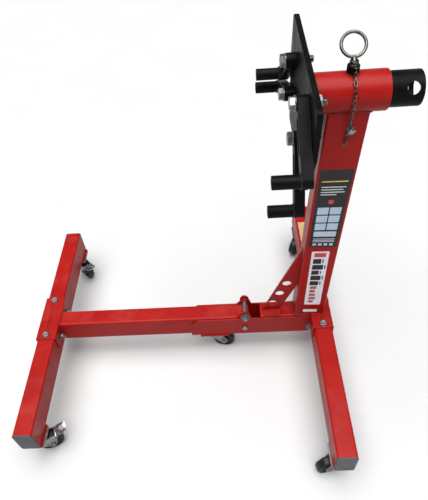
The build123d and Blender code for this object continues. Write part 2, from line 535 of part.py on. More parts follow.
def brake_shape():
    """Foot brake: a pressed lever behind the wheel, turning on the rivet."""
    hub = cyl_y(2.7, -LEG_Y + 0.3, LEG_Y - 0.3, BRAKE_X, BRAKE_Z)
    b, z = BRAKE_X, BRAKE_Z
    tab = prism_xz([(b - 0.5, z + 0.6), (b + 8, z + 2.4), (b + 29, z + 9.6), (b + 32.2, z + 8.2), (b + 33.0, z + 9.9), (b + 29.6, z + 12.0), (b + 8, z + 4.8), (b - 1.5, z + 2.65)], -LEG_Y + 0.3, LEG_Y - 0.3)
    wide = prism_xz([(b + 7, z + 2.1), (b + 29, z + 9.6), (b + 32.2, z + 8.2), (b + 33.0, z + 9.9), (b + 29.6, z + 12.0), (b + 7, z + 4.5)], -LEG_Y - 3.4, LEG_Y + 3.4)
    s = hub + tab + wide
    s = s - cyl_y(2.1, -60, 60, b, z)
    corners = [e for e in s.edges() if abs(e.tangent_at(0.5).Y) < 0.2 and abs(abs(e.center().Y) - LEG_Y - 3.4) < 0.01 and e.center().X > b + 31 and e.length < 3]
    return s


def place(shape, cx, cy, a):
    return Pos(cx, cy, 0) * Rot(0, 0, a) * shape


rp = [caster_plate(*CASTERS[n][:2], n == "centre") for n in ("rear_near", "rear_far", "centre")]
fp = [caster_plate(*CASTERS[n][:2], False) for n in ("front_near", "front_far")]
save(rp, "rear_caster_plates")
save(fp, "front_caster_plates")
save([b for n in ("rear_near", "rear_far", "centre") for b in caster_bolts(*CASTERS[n][:2], n == "centre")], "rear_caster_bolts")
save([b for n in ("front_near", "front_far") for b in caster_bolts(*CASTERS[n][:2], False)], "front_caster_bolts")

fork, wheel, axle, brake = fork_shape(), wheel_shape(), axle_shape(), brake_shape()
for cname, (cx, cy, a) in CASTERS.items():
    braking = cname.startswith("front")
    save(place(braked(fork) if braking else fork, cx, cy, a), "fork_" + cname)
    if braking:
        save(place(brake, cx, cy, a), "brake_" + cname)
        print("brake pivot at", round(cx + BRAKE_X * cos(radians(a)), 3), round(cy + BRAKE_X * sin(radians(a)), 3))
    save(place(wheel, cx, cy, a), "wheel_" + cname)
    save(place(axle, cx, cy, a), "axle_" + cname)
    print("axle centre", cname, round(cx + TRAIL * cos(radians(a)), 3), round(cy + TRAIL * sin(radians(a)), 3))
print("brake pivot", BRAKE_X, BRAKE_Z)

# ---------------------------------------------------------------- retaining chain
def link(center, tdir, ndir):
    """One oval link: tdir along the chain, ndir is the normal of the link's plane."""
    pl = Plane(origin=center, x_dir=tdir, z_dir=ndir)
    r = (LINK_W - 2 * LINK_WIRE) / 2
    h = (LINK_L - LINK_W) / 2
    path = Line((-h, -r), (h, -r)) + ThreePointArc((h, -r), (h + r, 0), (h, r)) + Line((h, r), (-h, r)) + ThreePointArc((-h, r), (-h - r, 0), (-h, -r))
    p3 = pl * path
    prof = Plane(origin=pl.from_local_coords((0, -r, 0)), z_dir=tdir) * Circle(LINK_WIRE)
    return sweep(prof, path=p3)


pitch = LINK_L - 4 * LINK_WIRE + 0.5
# the chain's line in the plane x = CHAIN_X: from the pin's neck over the housing, down to the anchor, and its free tail
ZC = Z_AXIS
RC = HOUS_R + LINK_W / 2 + 0.3
anchor = (-30.8, 790.0)
d = sqrt(anchor[0] ** 2 + (anchor[1] - ZC) ** 2)
base_a = atan2(anchor[1] - ZC, anchor[0])
tan_a = base_a - acos(RC / d)     # tangent point on the near side, measured about the housing's axis
if tan_a < -pi:
    tan_a += 2 * pi
start_a = radians(112.0)
pts = [(-7.6, BOSS_TOP + 1.3), (-15.5, BOSS_TOP + 1.3), (-17.6, BOSS_TOP - 5.0)]
arc_pts = []
end_a = tan_a if tan_a > 0 else tan_a + 2 * pi
k = start_a
while k < end_a:
    arc_pts.append((RC * cos(k), ZC + RC * sin(k)))
    k += radians(3)
arc_pts.append((RC * cos(end_a), ZC + RC * sin(end_a)))
pts += arc_pts + [anchor]


def sample(poly, step, start=0.0):
    out, acc, nxt = [], 0.0, start
    for (a, b) in zip(poly[:-1], poly[1:]):
        seg = sqrt((b[0] - a[0]) ** 2 + (b[1] - a[1]) ** 2)
        while nxt <= acc + seg:
            f = (nxt - acc) / seg
            out.append(((a[0] + f * (b[0] - a[0]), a[1] + f * (b[1] - a[1])), ((b[0] - a[0]) / seg, (b[1] - a[1]) / seg)))
            nxt += step
        acc += seg
    return out, acc


samples, total = sample(pts, pitch, 4.4)
links = []
for i, ((y, z), (ty, tz)) in enumerate(samples):
    t3 = Vector(0, ty, tz)
    n3 = Vector(1, 0, 0) if i % 2 else Vector(0, -tz, ty)
    links.append(link((CHAIN_X, y, z), t3, n3))
tail = [(-29.4, 783.0), (-29.0, 748.0)]
ts, tl = sample(tail, pitch, 2.0)
for i, ((y, z), (ty, tz)) in enumerate(ts):
    t3 = Vector(0, ty, tz)
    n3 = Vector(1, 0, 0) if i % 2 == 0 else Vector(0, -tz, ty)
    links.append(link((CHAIN_X - 1.5, y, z), t3, n3))
print("chain links", len(links), "length", total, tl, "end of run", samples[-1])
# the loose ring round the pin's neck
neck_ring = Pos(X_LOCK, 0, BOSS_TOP + 1.1) * Torus(8.0, 0.9)
save(links + [neck_ring], "lock_chain")
anchor_screw = cyl_y(3.5, -36.5, -25.05, CHAIN_X + 4.5, 787.0) + cyl_y(6.0, -38.5, -35.5, CHAIN_X + 4.5, 787.0)
wing = prism_xz([(CHAIN_X + 1, 789.0), (CHAIN_X + 13, 784.0), (CHAIN_X + 14.0, 787.5), (CHAIN_X + 4, 793.0)], -34.6, -32.6)
save([anchor_screw + wing], "chain_anchor")
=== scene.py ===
import bpy, json, math
from math import sin, cos, pi, radians, sqrt, atan2, acos
from mathutils import Vector, Matrix


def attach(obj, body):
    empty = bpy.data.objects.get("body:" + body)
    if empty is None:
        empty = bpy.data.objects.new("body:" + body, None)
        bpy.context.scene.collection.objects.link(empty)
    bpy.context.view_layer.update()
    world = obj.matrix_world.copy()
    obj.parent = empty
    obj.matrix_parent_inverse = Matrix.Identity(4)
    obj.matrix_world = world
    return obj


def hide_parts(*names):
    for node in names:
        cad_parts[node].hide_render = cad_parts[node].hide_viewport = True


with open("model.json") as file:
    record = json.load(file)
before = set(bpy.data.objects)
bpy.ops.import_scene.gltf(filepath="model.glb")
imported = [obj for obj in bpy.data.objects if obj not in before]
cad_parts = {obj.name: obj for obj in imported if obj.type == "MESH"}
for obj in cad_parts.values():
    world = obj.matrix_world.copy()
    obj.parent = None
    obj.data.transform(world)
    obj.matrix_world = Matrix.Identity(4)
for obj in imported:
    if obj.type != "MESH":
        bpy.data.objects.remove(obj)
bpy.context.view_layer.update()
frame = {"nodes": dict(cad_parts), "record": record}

scene = bpy.context.scene
NODES = frame["nodes"]
MM = 0.001

# ------------------------------------------------------------------ camera
cam_data = bpy.data.cameras.new("camera")
cam = bpy.data.objects.new("camera", cam_data)
scene.collection.objects.link(cam)
yaw, pitch, roll = -0.0718, 0.8306, -0.1021
fwd = Vector((sin(yaw) * cos(pitch), cos(yaw) * cos(pitch), -sin(pitch)))
right0 = Vector((cos(yaw), -sin(yaw), 0.0))
up0 = right0.cross(fwd)
right = cos(roll) * right0 + sin(roll) * up0
up = -sin(roll) * right0 + cos(roll) * up0
back = -fwd
cam.matrix_world = Matrix(((right.x, up.x, back.x, 0.11345), (right.y, up.y, back.y, -0.8216), (right.z, up.z, back.z, 1.3375), (0, 0, 0, 1)))
cam_data.sensor_width = 36.0
cam_data.lens = 34.93
cam_data.shift_x = 0.0101
cam_data.shift_y = -0.0013
cam_data.clip_start = 0.02
cam_data.clip_end = 60.0
scene.camera = cam

# ------------------------------------------------------------------ dimensions repeated from the model (mm)
X0 = 5.65
X_REAR, X_FRONT = X0 + 351.0, X0 - 441.0
X_PIV, Z_PIV, LOCK_Z = X0 + 135.0, 178.0, 117.0
CH_YO = 29.0
Z_TOP = 165.0
Z_AXIS = 851.0
X_PLATE1, PLATE_T = X0 + 259.0, 10.0
XA1 = X_PLATE1 - PLATE_T - 0.4
XA0 = XA1 - 20.0
X_HOUS0, X_HOUS1 = X0 + 261.0, X0 + 406.0
X_LOCK, BOSS_TOP = X0 + 339.0, 904.0
ARMS = {"far_upper": (77.0, 30.0, -37.8), "far_lower": (77.0, -42.0, -23.0), "near_upper": (-77.0, 30.0, -143.3), "near_lower": (-77.0, -42.0, -116.8)}
ARM_L = 137.0
CASTERS = {"front_near": (X_FRONT + 4.0, -320.0, 25.0), "front_far": (X_FRONT + 4.0, 320.0, -45.0), "rear_near": (X_REAR, -386.0, 196.0), "rear_far": (X_REAR, 386.0, 232.0), "centre": (X0 + 42.0, 0.0, -8.0)}
TRAIL, WHEEL_R = 28.0, 31.5


# ------------------------------------------------------------------ materials
class Mat:
    def __init__(self, name):
        self.m = bpy.data.materials.new(name)
        self.m.use_nodes = True
        self.nt = self.m.node_tree
        for n in list(self.nt.nodes):
            self.nt.nodes.remove(n)
        self.out = self.nt.nodes.new("ShaderNodeOutputMaterial")
        self.b = self.nt.nodes.new("ShaderNodeBsdfPrincipled")
        self.nt.links.new(self.b.outputs[0], self.out.inputs[0])
        self.tc = self.nt.nodes.new("ShaderNodeTexCoord").outputs["Object"]

    def set(self, **kw):
        for k, v in kw.items():
            self.b.inputs[k.replace("_", " ")].default_value = v
        return self

    def link(self, a, b):
        self.nt.links.new(a, b)

    def noise(self, scale, detail=3.0, rough=0.55, distort=0.0, vec=None):
        n = self.nt.nodes.new("ShaderNodeTexNoise")
        n.inputs["Scale"].default_value = scale
        n.inputs["Detail"].default_value = detail
        n.inputs["Roughness"].default_value = rough
        n.inputs["Distortion"].default_value = distort
        self.link(vec or self.tc, n.inputs["Vector"])
        return n.outputs["Fac"]

    def voronoi(self, scale, feature="F1", vec=None, out="Distance"):
        n = self.nt.nodes.new("ShaderNodeTexVoronoi")
        n.feature = feature
        n.inputs["Scale"].default_value = scale
        self.link(vec or self.tc, n.inputs["Vector"])
        return n.outputs[out]

    def stretch(self, sx, sy, sz):
        n = self.nt.nodes.new("ShaderNodeMapping")
        n.inputs["Scale"].default_value = (sx, sy, sz)
        self.link(self.tc, n.inputs["Vector"])
        return n.outputs[0]

    def ramp(self, fac, stops):
        n = self.nt.nodes.new("ShaderNodeValToRGB")
        cr = n.color_ramp
        cr.elements[0].position, cr.elements[0].color = stops[0][0], tuple(stops[0][1]) + (1,) if len(stops[0][1]) == 3 else stops[0][1]
        cr.elements[1].position, cr.elements[1].color = stops[-1][0], tuple(stops[-1][1]) + (1,) if len(stops[-1][1]) == 3 else stops[-1][1]
        for p, c in stops[1:-1]:
            e = cr.elements.new(p)
            e.color = tuple(c) + (1,)
        self.link(fac, n.inputs[0])
        return n.outputs[0]

    def grey(self, fac, lo, hi, a=0.0, b=1.0):
        n = self.nt.nodes.new("ShaderNodeMapRange")
        n.inputs["From Min"].default_value = lo
        n.inputs["From Max"].default_value = hi
        n.inputs["To Min"].default_value = a
        n.inputs["To Max"].default_value = b
        self.link(fac, n.inputs["Value"])
        return n.outputs[0]

    def math(self, op, a, b=None):
        n = self.nt.nodes.new("ShaderNodeMath")
        n.operation = op
        for i, v in enumerate((a, b)):
            if v is None:
                continue
            if isinstance(v, (int, float)):
                n.inputs[i].default_value = v
            else:
                self.link(v, n.inputs[i])
        return n.outputs[0]

    def mix(self, fac, a, b):
        n = self.nt.nodes.new("ShaderNodeMix")
        n.data_type = "RGBA"
        ins = [i for i in n.inputs if i.type == "RGBA"]
        fi = [i for i in n.inputs if i.name == "Factor" and i.type == "VALUE"][0]
        if isinstance(fac, (int, float)):
            fi.default_value = fac
        else:
            self.link(fac, fi)
        for s, v in zip(ins[:2], (a, b)):
            if isinstance(v, tuple):
                s.default_value = v if len(v) == 4 else v + (1,)
            else:
                self.link(v, s)
        return [o for o in n.outputs if o.type == "RGBA"][0]

    def bump(self, height, strength=0.2, dist=0.001, normal=None):
        n = self.nt.nodes.new("ShaderNodeBump")
        n.inputs["Strength"].default_value = strength
        n.inputs["Distance"].default_value = dist
        self.link(height, n.inputs["Height"])
        if normal is not None:
            self.link(normal, n.inputs["Normal"])
        return n.outputs[0]

    def edges(self, radius=0.0022, lo=0.02, hi=0.22):
        """1 on convex or concave edges, 0 on flats."""
        bv = self.nt.nodes.new("ShaderNodeBevel")
        bv.samples = 4
        bv.inputs["Radius"].default_value = radius
        g = self.nt.nodes.new("ShaderNodeNewGeometry")
        d = self.nt.nodes.new("ShaderNodeVectorMath")
        d.operation = "DOT_PRODUCT"
        self.link(bv.outputs[0], d.inputs[0])
        self.link(g.outputs["Normal"], d.inputs[1])
        inv = self.math("SUBTRACT", 1.0, d.outputs["Value"])
        return self.grey(inv, lo, hi)

    def upward(self, lo=0.3, hi=1.0):
        g = self.nt.nodes.new("ShaderNodeNewGeometry")
        s = self.nt.nodes.new("ShaderNodeSeparateXYZ")
        self.link(g.outputs["Normal"], s.inputs[0])
        return self.grey(s.outputs["Z"], lo, hi)

    def to(self, sock, name):
        self.link(sock, self.b.inputs[name])
        return self


def make_red():
    m = Mat("red_powder_coat")
    m.set(Metallic=0.0, Coat_Weight=0.0, Coat_Roughness=0.2, IOR=1.5, Specular_IOR_Level=0.13)
    base = m.ramp(m.noise(7.0, 4), [(0.3, (0.232, 0.0042, 0.0032)), (0.5, (0.262, 0.0050, 0.0036)), (0.72, (0.300, 0.0080, 0.0050))])
    fleck = m.grey(m.noise(520.0, 1.5), 0.68, 0.76)
    base = m.mix(m.math("MULTIPLY", fleck, 0.30), base, (0.44, 0.060, 0.044))
    dark = m.grey(m.noise(300.0, 2.0), 0.36, 0.24)
    base = m.mix(m.math("MULTIPLY", dark, 0.35), base, (0.16, 0.004, 0.004))
    dust = m.math("MULTIPLY", m.upward(0.6, 1.0), m.grey(m.noise(16.0, 5, 0.65), 0.50, 0.80, 0.0, 0.10))
    base = m.mix(dust, base, (0.34, 0.20, 0.17))
    wear = m.math("MULTIPLY", m.edges(), m.grey(m.noise(55.0, 5, 0.7), 0.42, 0.62, 0.10, 0.62))
    base = m.mix(wear, base, (0.46, 0.085, 0.060))
    m.to(base, "Base Color")
    rough = m.grey(m.noise(28.0, 4), 0.3, 0.75, 0.30, 0.44)
    m.to(m.math("ADD", rough, m.math("MULTIPLY", dust, 1.2)), "Roughness")
    n1 = m.bump(m.noise(750.0, 2.0), 0.10, 0.0004)
    m.to(m.bump(m.noise(110.0, 2.0), 0.06, 0.0008, n1), "Normal")
    return m.m


def make_black():
    m = Mat("black_powder_coat")
    m.set(Metallic=0.0, Coat_Weight=0.0, Coat_Roughness=0.3, IOR=1.5, Specular_IOR_Level=0.06)
    base = m.ramp(m.noise(18.0, 4), [(0.3, (0.0018, 0.0018, 0.0020)), (0.7, (0.0040, 0.0040, 0.0044))])
    dust = m.math("MULTIPLY", m.upward(0.5, 1.0), m.grey(m.noise(22.0, 5, 0.65), 0.45, 0.8, 0.0, 0.08))
    base = m.mix(dust, base, (0.075, 0.070, 0.064))
    wear = m.math("MULTIPLY", m.edges(0.0018), m.grey(m.noise(80.0, 5, 0.7), 0.50, 0.64, 0.05, 0.60))
    base = m.mix(wear, base, (0.055, 0.053, 0.050))
    m.to(base, "Base Color")
    m.to(m.grey(m.noise(40.0, 4), 0.3, 0.75, 0.38, 0.54), "Roughness")
    n1 = m.bump(m.noise(1100.0, 2.0), 0.20, 0.0004)
    m.to(m.bump(m.noise(160.0, 2.0), 0.10, 0.0008, n1), "Normal")
    return m.m


def make_zinc(name="zinc_plate", tint=(0.27, 0.275, 0.283), dark=(0.13, 0.133, 0.14), r0=0.30, r1=0.48, scale=1.0):
    m = Mat(name)
    m.set(Metallic=1.0)
    base = m.ramp(m.noise(60.0 * scale, 4), [(0.28, dark), (0.55, tint), (0.8, tuple(min(1.0, c * 1.08) for c in tint))])
    stain = m.grey(m.noise(24.0 * scale, 5, 0.7), 0.58, 0.74, 0.0, 0.45)
    base = m.mix(stain, base, (0.28, 0.25, 0.20))
    cav = m.grey(m.noise(240.0 * scale, 3), 0.62, 0.75, 0.0, 0.5)
    base = m.mix(cav, base, (0.11, 0.11, 0.11))
    m.to(base, "Base Color")
    m.to(m.grey(m.noise(130.0 * scale, 4), 0.3, 0.7, r0, r1), "Roughness")
    m.to(m.bump(m.noise(900.0 * scale, 2), 0.12, 0.0003), "Normal")
    return m.m


def make_wheel():
    m = Mat("wheel_black")
    m.set(Metallic=0.0, IOR=1.46, Specular_IOR_Level=0.3)
    base = m.ramp(m.noise(45.0, 4), [(0.3, (0.006, 0.006, 0.0066)), (0.7, (0.013, 0.013, 0.014))])
    scuff = m.grey(m.noise(150.0, 5, 0.7), 0.55, 0.75, 0.0, 0.35)
    base = m.mix(scuff, base, (0.042, 0.040, 0.038))
    m.to(base, "Base Color")
    m.to(m.grey(m.noise(90.0, 4), 0.3, 0.75, 0.26, 0.50), "Roughness")
    m.to(m.bump(m.noise(600.0, 3), 0.16, 0.0005), "Normal")
    return m.m


def make_cap():
    m = Mat("cap_plastic")
    m.set(Metallic=0.0, IOR=1.48, Specular_IOR_Level=0.3)
    base = m.ramp(m.noise(30.0, 4), [(0.3, (0.034, 0.040, 0.050)), (0.7, (0.052, 0.060, 0.074))])
    scuff = m.grey(m.noise(90.0, 5, 0.7), 0.60, 0.78, 0.0, 0.4)
    base = m.mix(scuff, base, (0.13, 0.14, 0.15))
    m.to(base, "Base Color")
    m.to(m.grey(m.noise(60.0, 4), 0.3, 0.75, 0.42, 0.60), "Roughness")
    grain = m.voronoi(900.0)
    m.to(m.bump(grain, 0.30, 0.0003), "Normal")
    return m.m


def make_weld(name, col_lo, col_hi, rough):
    m = Mat(name)
    m.set(Coat_Weight=0.0, Specular_IOR_Level=0.25)
    m.to(m.ramp(m.noise(90.0, 4), [(0.3, col_lo), (0.7, col_hi)]), "Base Color")
    m.to(m.grey(m.noise(200.0, 3), 0.3, 0.7, rough, rough + 0.15), "Roughness")
    m.to(m.bump(m.noise(700.0, 3), 0.25, 0.0005), "Normal")
    return m.m


def make_vinyl(name, col, rough=0.35, var=0.10):
    m = Mat(name)
    m.set(Coat_Weight=0.0, Specular_IOR_Level=0.25)
    lo = tuple(c * (1 - var) for c in col)
    hi = tuple(min(1.0, c * (1 + var)) for c in col)
    base = m.ramp(m.noise(60.0, 4), [(0.3, lo), (0.7, hi)])
    scr = m.grey(m.noise(420.0, 4, 0.7), 0.66, 0.78, 0.0, 0.30)
    base = m.mix(scr, base, tuple(min(1.0, 0.55 * c + 0.20) for c in col))
    m.to(base, "Base Color")
    m.to(m.grey(m.noise(110.0, 3), 0.3, 0.7, rough, rough + 0.14), "Roughness")
    m.to(m.bump(m.noise(350.0, 2), 0.06, 0.0004), "Normal")
    return m.m


def make_paper():
    m = Mat("tan_paper")
    m.set(Metallic=0.0)
    fib = m.noise(1.0, 5, 0.6, 0.3, vec=m.stretch(420.0, 60.0, 200.0))
    base = m.ramp(fib, [(0.25, (0.30, 0.18, 0.08)), (0.55, (0.42, 0.28, 0.14)), (0.8, (0.50, 0.36, 0.20))])
    patch = m.grey(m.noise(12.0, 4), 0.4, 0.7)
    base = m.mix(m.math("MULTIPLY", patch, 0.5), base, (0.27, 0.155, 0.07))
    m.to(base, "Base Color")
    m.to(m.grey(fib, 0.2, 0.8, 0.62, 0.85), "Roughness")
    m.to(m.bump(fib, 0.35, 0.0005), "Normal")
    return m.m


RED, BLACK, ZINC, WHEEL, CAP = make_red(), make_black(), make_zinc(), make_wheel(), make_cap()
NICKEL = make_zinc("nickel_plate", (0.135, 0.128, 0.116), (0.045, 0.040, 0.033), 0.24, 0.40, 1.4)
BRIGHT = make_zinc("bright_zinc", (0.50, 0.52, 0.55), (0.30, 0.32, 0.35), 0.24, 0.40, 1.2)
WELD_RED = make_weld("weld_red", (0.12, 0.0030, 0.0028), (0.22, 0.010, 0.008), 0.36)
WELD_BLACK = make_weld("weld_black", (0.0035, 0.0035, 0.004), (0.010, 0.010, 0.011), 0.42)
V_BLACK = make_vinyl("vinyl_black", (0.012, 0.0125, 0.015), 0.34)
V_WHITE = make_vinyl("vinyl_white", (0.62, 0.62, 0.66), 0.38, 0.05)
V_TILE = make_vinyl("vinyl_tile", (0.40, 0.50, 0.62), 0.38, 0.08)
V_YELLOW = make_vinyl("vinyl_yellow", (0.60, 0.40, 0.06), 0.38)
V_RED = make_vinyl("vinyl_red", (0.46, 0.05, 0.05), 0.38)
V_NAVY = make_vinyl("vinyl_navy", (0.035, 0.055, 0.14), 0.38)
V_PLUM = make_vinyl("vinyl_plum", (0.24, 0.11, 0.15), 0.38)
PAPER = make_paper()


# ------------------------------------------------------------------ mesh building
class Builder:
    def __init__(self, name):
        self.name, self.v, self.f, self.mi, self.mats = name, [], [], [], []

    def add(self, verts, faces, M=None, mat=None):
        if mat not in self.mats:
            self.mats.append(mat)
        k, o = self.mats.index(mat), len(self.v)
        M = M or Matrix.Identity(4)
        self.v += [tuple(M @ Vector(p)) for p in verts]
        self.f += [tuple(i + o for i in f) for f in faces]
        self.mi += [k] * len(faces)
        return self

    def make(self, body, slot=None, replaces=(), scale=MM, smooth=40.0, mods=()):
        me = bpy.data.meshes.new(self.name)
        me.from_pydata([(x * scale, y * scale, z * scale) for x, y, z in self.v], [], self.f)
        me.validate()
        for mt in self.mats:
            me.materials.append(mt)
        for p, k in zip(me.polygons, self.mi):
            p.material_index = k
            p.use_smooth = True
        me.update()
        me.set_sharp_from_angle(angle=radians(smooth))
        ob = bpy.data.objects.new(self.name, me)
        scene.collection.objects.link(ob)
        for fn in mods:
            fn(ob)
        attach(ob, body)
        if replaces:
            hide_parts(*replaces)
        return ob


def grid(rows, closed_u=True, cap0=None, cap1=None):
    """rows: list of rings of points. Quads between them, optional fan caps at a centre point."""
    n = len(rows[0])
    v = [p for r in rows for p in r]
    f = []
    for i in range(len(rows) - 1):
        for j in range(n if closed_u else n - 1):
            a, b = i * n + j, i * n + (j + 1) % n
            f.append((a, b, b + n, a + n))
    if cap0 is not None:
        c = len(v)
        v.append(cap0)
        f += [(c, (j + 1) % n, j) for j in range(n)]
    if cap1 is not None:
        c, o = len(v), (len(rows) - 1) * n
        v.append(cap1)
        f += [(c, o + j, o + (j + 1) % n) for j in range(n)]
    return v, f


def lathe(profile, seg=48, caps=True, rfun=None):
    """profile: (r, z) from the bottom centre to the top centre, about Z."""
    rows = []
    for r, z in profile:
        rows.append([((rfun(r, z, 2 * pi * j / seg) if rfun else r) * cos(2 * pi * j / seg), (rfun(r, z, 2 * pi * j / seg) if rfun else r) * sin(2 * pi * j / seg), z) for j in range(seg)])
    return grid(rows, True, (0, 0, profile[0][1]) if caps else None, (0, 0, profile[-1][1]) if caps else None)


def ring_profile(profile, seg=48):
    """Closed (r, z) loop revolved about Z, running counter-clockwise in the r-z plane."""
    rows = [[(r * cos(2 * pi * j / seg), r * sin(2 * pi * j / seg), z) for j in range(seg)] for r, z in profile]
    return grid(rows + [rows[0]], True)


def rounded(profile, k=0.35, steps=3):
    """Rounds a polyline profile's inner corners a little."""
    out = [profile[0]]
    for a, b, c in zip(profile[:-2], profile[1:-1], profile[2:]):
        la, lc = math.dist(a, b), math.dist(b, c)
        d = min(k, 0.45 * la, 0.45 * lc)
        if d < 1e-4:
            out.append(b)
            continue
        p = (b[0] + (a[0] - b[0]) * d / la, b[1] + (a[1] - b[1]) * d / la)
        q = (b[0] + (c[0] - b[0]) * d / lc, b[1] + (c[1] - b[1]) * d / lc)
        for s in range(steps + 1):
            t = s / steps
            out.append(((1 - t) ** 2 * p[0] + 2 * t * (1 - t) * b[0] + t * t * q[0], (1 - t) ** 2 * p[1] + 2 * t * (1 - t) * b[1] + t * t * q[1]))
    out.append(profile[-1])
    return out


def hexagon(af, th):
    a = (th + pi / 6) % (pi / 3) - pi / 6
    return af / 2 / cos(a)


def hex_part(af, h, bore=None, both=False, dish=0.35, seg=72):
    """Chamfered hexagon from z = 0 to z = h; a nut if it has a bore."""
    rim = af / 2 * 0.955
    zs = [0.0]
    if both:
        zs += [h * 0.02 + k * 0.11 * af / 2 / 5 for k in range(1, 6)]
    zs += [h - 0.14 * af / 2 + k * 0.14 * af / 2 / 6 for k in range(7)]
    zs = sorted(set(z for z in zs if 0 <= z <= h))

    def r_at(z, th):
        r = hexagon(af, th)
        r = min(r, rim + (h - z) * 1.6)
        if both:
            r = min(r, rim + z * 1.6)
        return r
    rows = []
    if bore:
        rows.append([(bore * cos(2 * pi * j / seg), bore * sin(2 * pi * j / seg), 0.5) for j in range(seg)])
        rows.append([((bore + 0.5) * cos(2 * pi * j / seg), (bore + 0.5) * sin(2 * pi * j / seg), 0.0) for j in range(seg)])
    for z in zs:
        rows.append([(r_at(z, 2 * pi * j / seg) * cos(2 * pi * j / seg), r_at(z, 2 * pi * j / seg) * sin(2 * pi * j / seg), z) for j in range(seg)])
    if bore:
        rows.append([((bore + 0.6) * cos(2 * pi * j / seg), (bore + 0.6) * sin(2 * pi * j / seg), h) for j in range(seg)])
        rows.append([(bore * cos(2 * pi * j / seg), bore * sin(2 * pi * j / seg), h - 0.6) for j in range(seg)])
        rows.append(rows[0])
        return grid(rows, True)
    rows.append([(rim * 0.90 * cos(2 * pi * j / seg), rim * 0.90 * sin(2 * pi * j / seg), h) for j in range(seg)])
    rows.append([(rim * 0.55 * cos(2 * pi * j / seg), rim * 0.55 * sin(2 * pi * j / seg), h - dish) for j in range(seg)])
    return grid(rows, True, (0, 0, 0), (0, 0, h - dish))


def thread(r, z0, z1, pitch, depth=None, seg=28, tip=True):
    """Threaded stud from z0 to z1, with a chamfered tip at z1."""
    depth = depth or 0.55 * pitch
    n = max(6, int((z1 - z0) / pitch * 6))
    rows = []
    for i in range(n + 1):
        z = z0 + (z1 - z0) * i / n
        lim = r - max(0.0, (z - (z1 - 1.2)) * 0.9) if tip else r
        row = []
        for j in range(seg):
            th = 2 * pi * j / seg
            ph = (z / pitch - th / (2 * pi)) % 1.0
            rr = min(lim, r - depth * (1 - abs(2 * ph - 1)))
            row.append((rr * cos(th), rr * sin(th), z))
        rows.append(row)
    return grid(rows, True, (0, 0, z0), (0, 0, z1))


def washer(r_in, r_out, z0, z1, seg=48):
    e = 0.35 * (z1 - z0)
    return ring_profile([(r_in, z0 + e), (r_in, z1 - e), (r_in + e, z1), (r_out - e, z1), (r_out, z1 - e), (r_out, z0 + e), (r_out - e, z0), (r_in + e, z0)][::-1], seg)


def axis_matrix(p, d, spin=0.0):
    """Puts local Z along d with the origin at p."""
    d = Vector(d).normalized()
    q = d.to_track_quat("Z", "Y").to_matrix().to_4x4()
    return Matrix.Translation(Vector(p)) @ q @ Matrix.Rotation(spin, 4, "Z")


def sweep(points, r, seg=10, closed=False, rf=None, flat=1.0, caps=True):
    """Round bar along points, rotation-minimising frames. rf(i, n) scales the radius."""
    pts = [Vector(p) for p in points]
    n = len(pts)
    tan = []
    for i in range(n):
        a = pts[(i - 1) % n] if closed or i > 0 else pts[i]
        b = pts[(i + 1) % n] if closed or i < n - 1 else pts[i]
        tan.append((b - a).normalized())
    ref = Vector((0, 0, 1)) if abs(tan[0].z) < 0.9 else Vector((1, 0, 0))
    nrm = (ref - tan[0] * ref.dot(tan[0])).normalized()
    frames = [nrm]
    for i in range(1, n):
        nrm = (nrm - tan[i] * nrm.dot(tan[i])).normalized()
        frames.append(nrm)
    rows = []
    for i in range(n):
        u, t = frames[i], tan[i]
        w = t.cross(u)
        k = rf(i, n) if rf else 1.0
        rows.append([tuple(pts[i] + u * (r * k * cos(2 * pi * j / seg)) + w * (r * k * flat * sin(2 * pi * j / seg))) for j in range(seg)])
    if closed:
        # untwist against the start
        u0, un = frames[0], (frames[-1] - tan[0] * frames[-1].dot(tan[0])).normalized()
        w0 = tan[0].cross(u0)
        off = int(round(atan2(un.dot(w0), un.dot(u0)) / (2 * pi / seg))) % seg
        v, f = grid(rows, True)
        o = (n - 1) * seg
        for j in range(seg):
            a, b = o + j, o + (j + 1) % seg
            f.append((a, b, (j + 1 + off) % seg, (j + off) % seg))
        return v, f
    return grid(rows, True, tuple(pts[0]) if caps else None, tuple(pts[-1]) if caps else None)


def resample(points, step, closed=False):
    pts = [Vector(p) for p in points]
    if closed:
        pts.append(pts[0])
    out, acc, nxt = [], 0.0, 0.0
    for a, b in zip(pts[:-1], pts[1:]):
        L = (b - a).length
        while nxt < acc + L - 1e-9:
            out.append(a + (b - a) * ((nxt - acc) / L))
            nxt += step
        acc += L
    if not closed:
        out.append(pts[-1])
    return out


def bead(points, r, closed=False, pitch=3.2, seed=0):
    """Weld bead: a rippled bar."""
    p = resample(points, pitch / 6.0, closed)
    if closed and (p[-1] - p[0]).length < pitch / 12:
        p = p[:-1]

    def rf(i, n):
        ph = (i / 6.0 + 0.13 * sin(i * 0.071 + seed)) % 1.0
        end = 1.0 if closed else min(1.0, 0.45 + min(i, n - 1 - i) / 8.0)
        return (0.80 + 0.24 * sqrt(max(0.0, 1 - (2 * ph - 1) ** 2)) + 0.05 * sin(i * 0.37 + seed * 1.7)) * end
    return sweep(p, r, 9, closed, rf)


def circle(c, r, axis, n=72, a0=0.0, a1=2 * pi, closed=True):
    """Points of a circle about the given axis letter."""
    out = []
    m = n if closed else n + 1
    for i in range(m):
        a = a0 + (a1 - a0) * i / n
        ca, sa = r * cos(a), r * sin(a)
        out.append({"x": (c[0], c[1] + ca, c[2] + sa), "y": (c[0] + ca, c[1], c[2] + sa), "z": (c[0] + ca, c[1] + sa, c[2])}[axis])
    return out


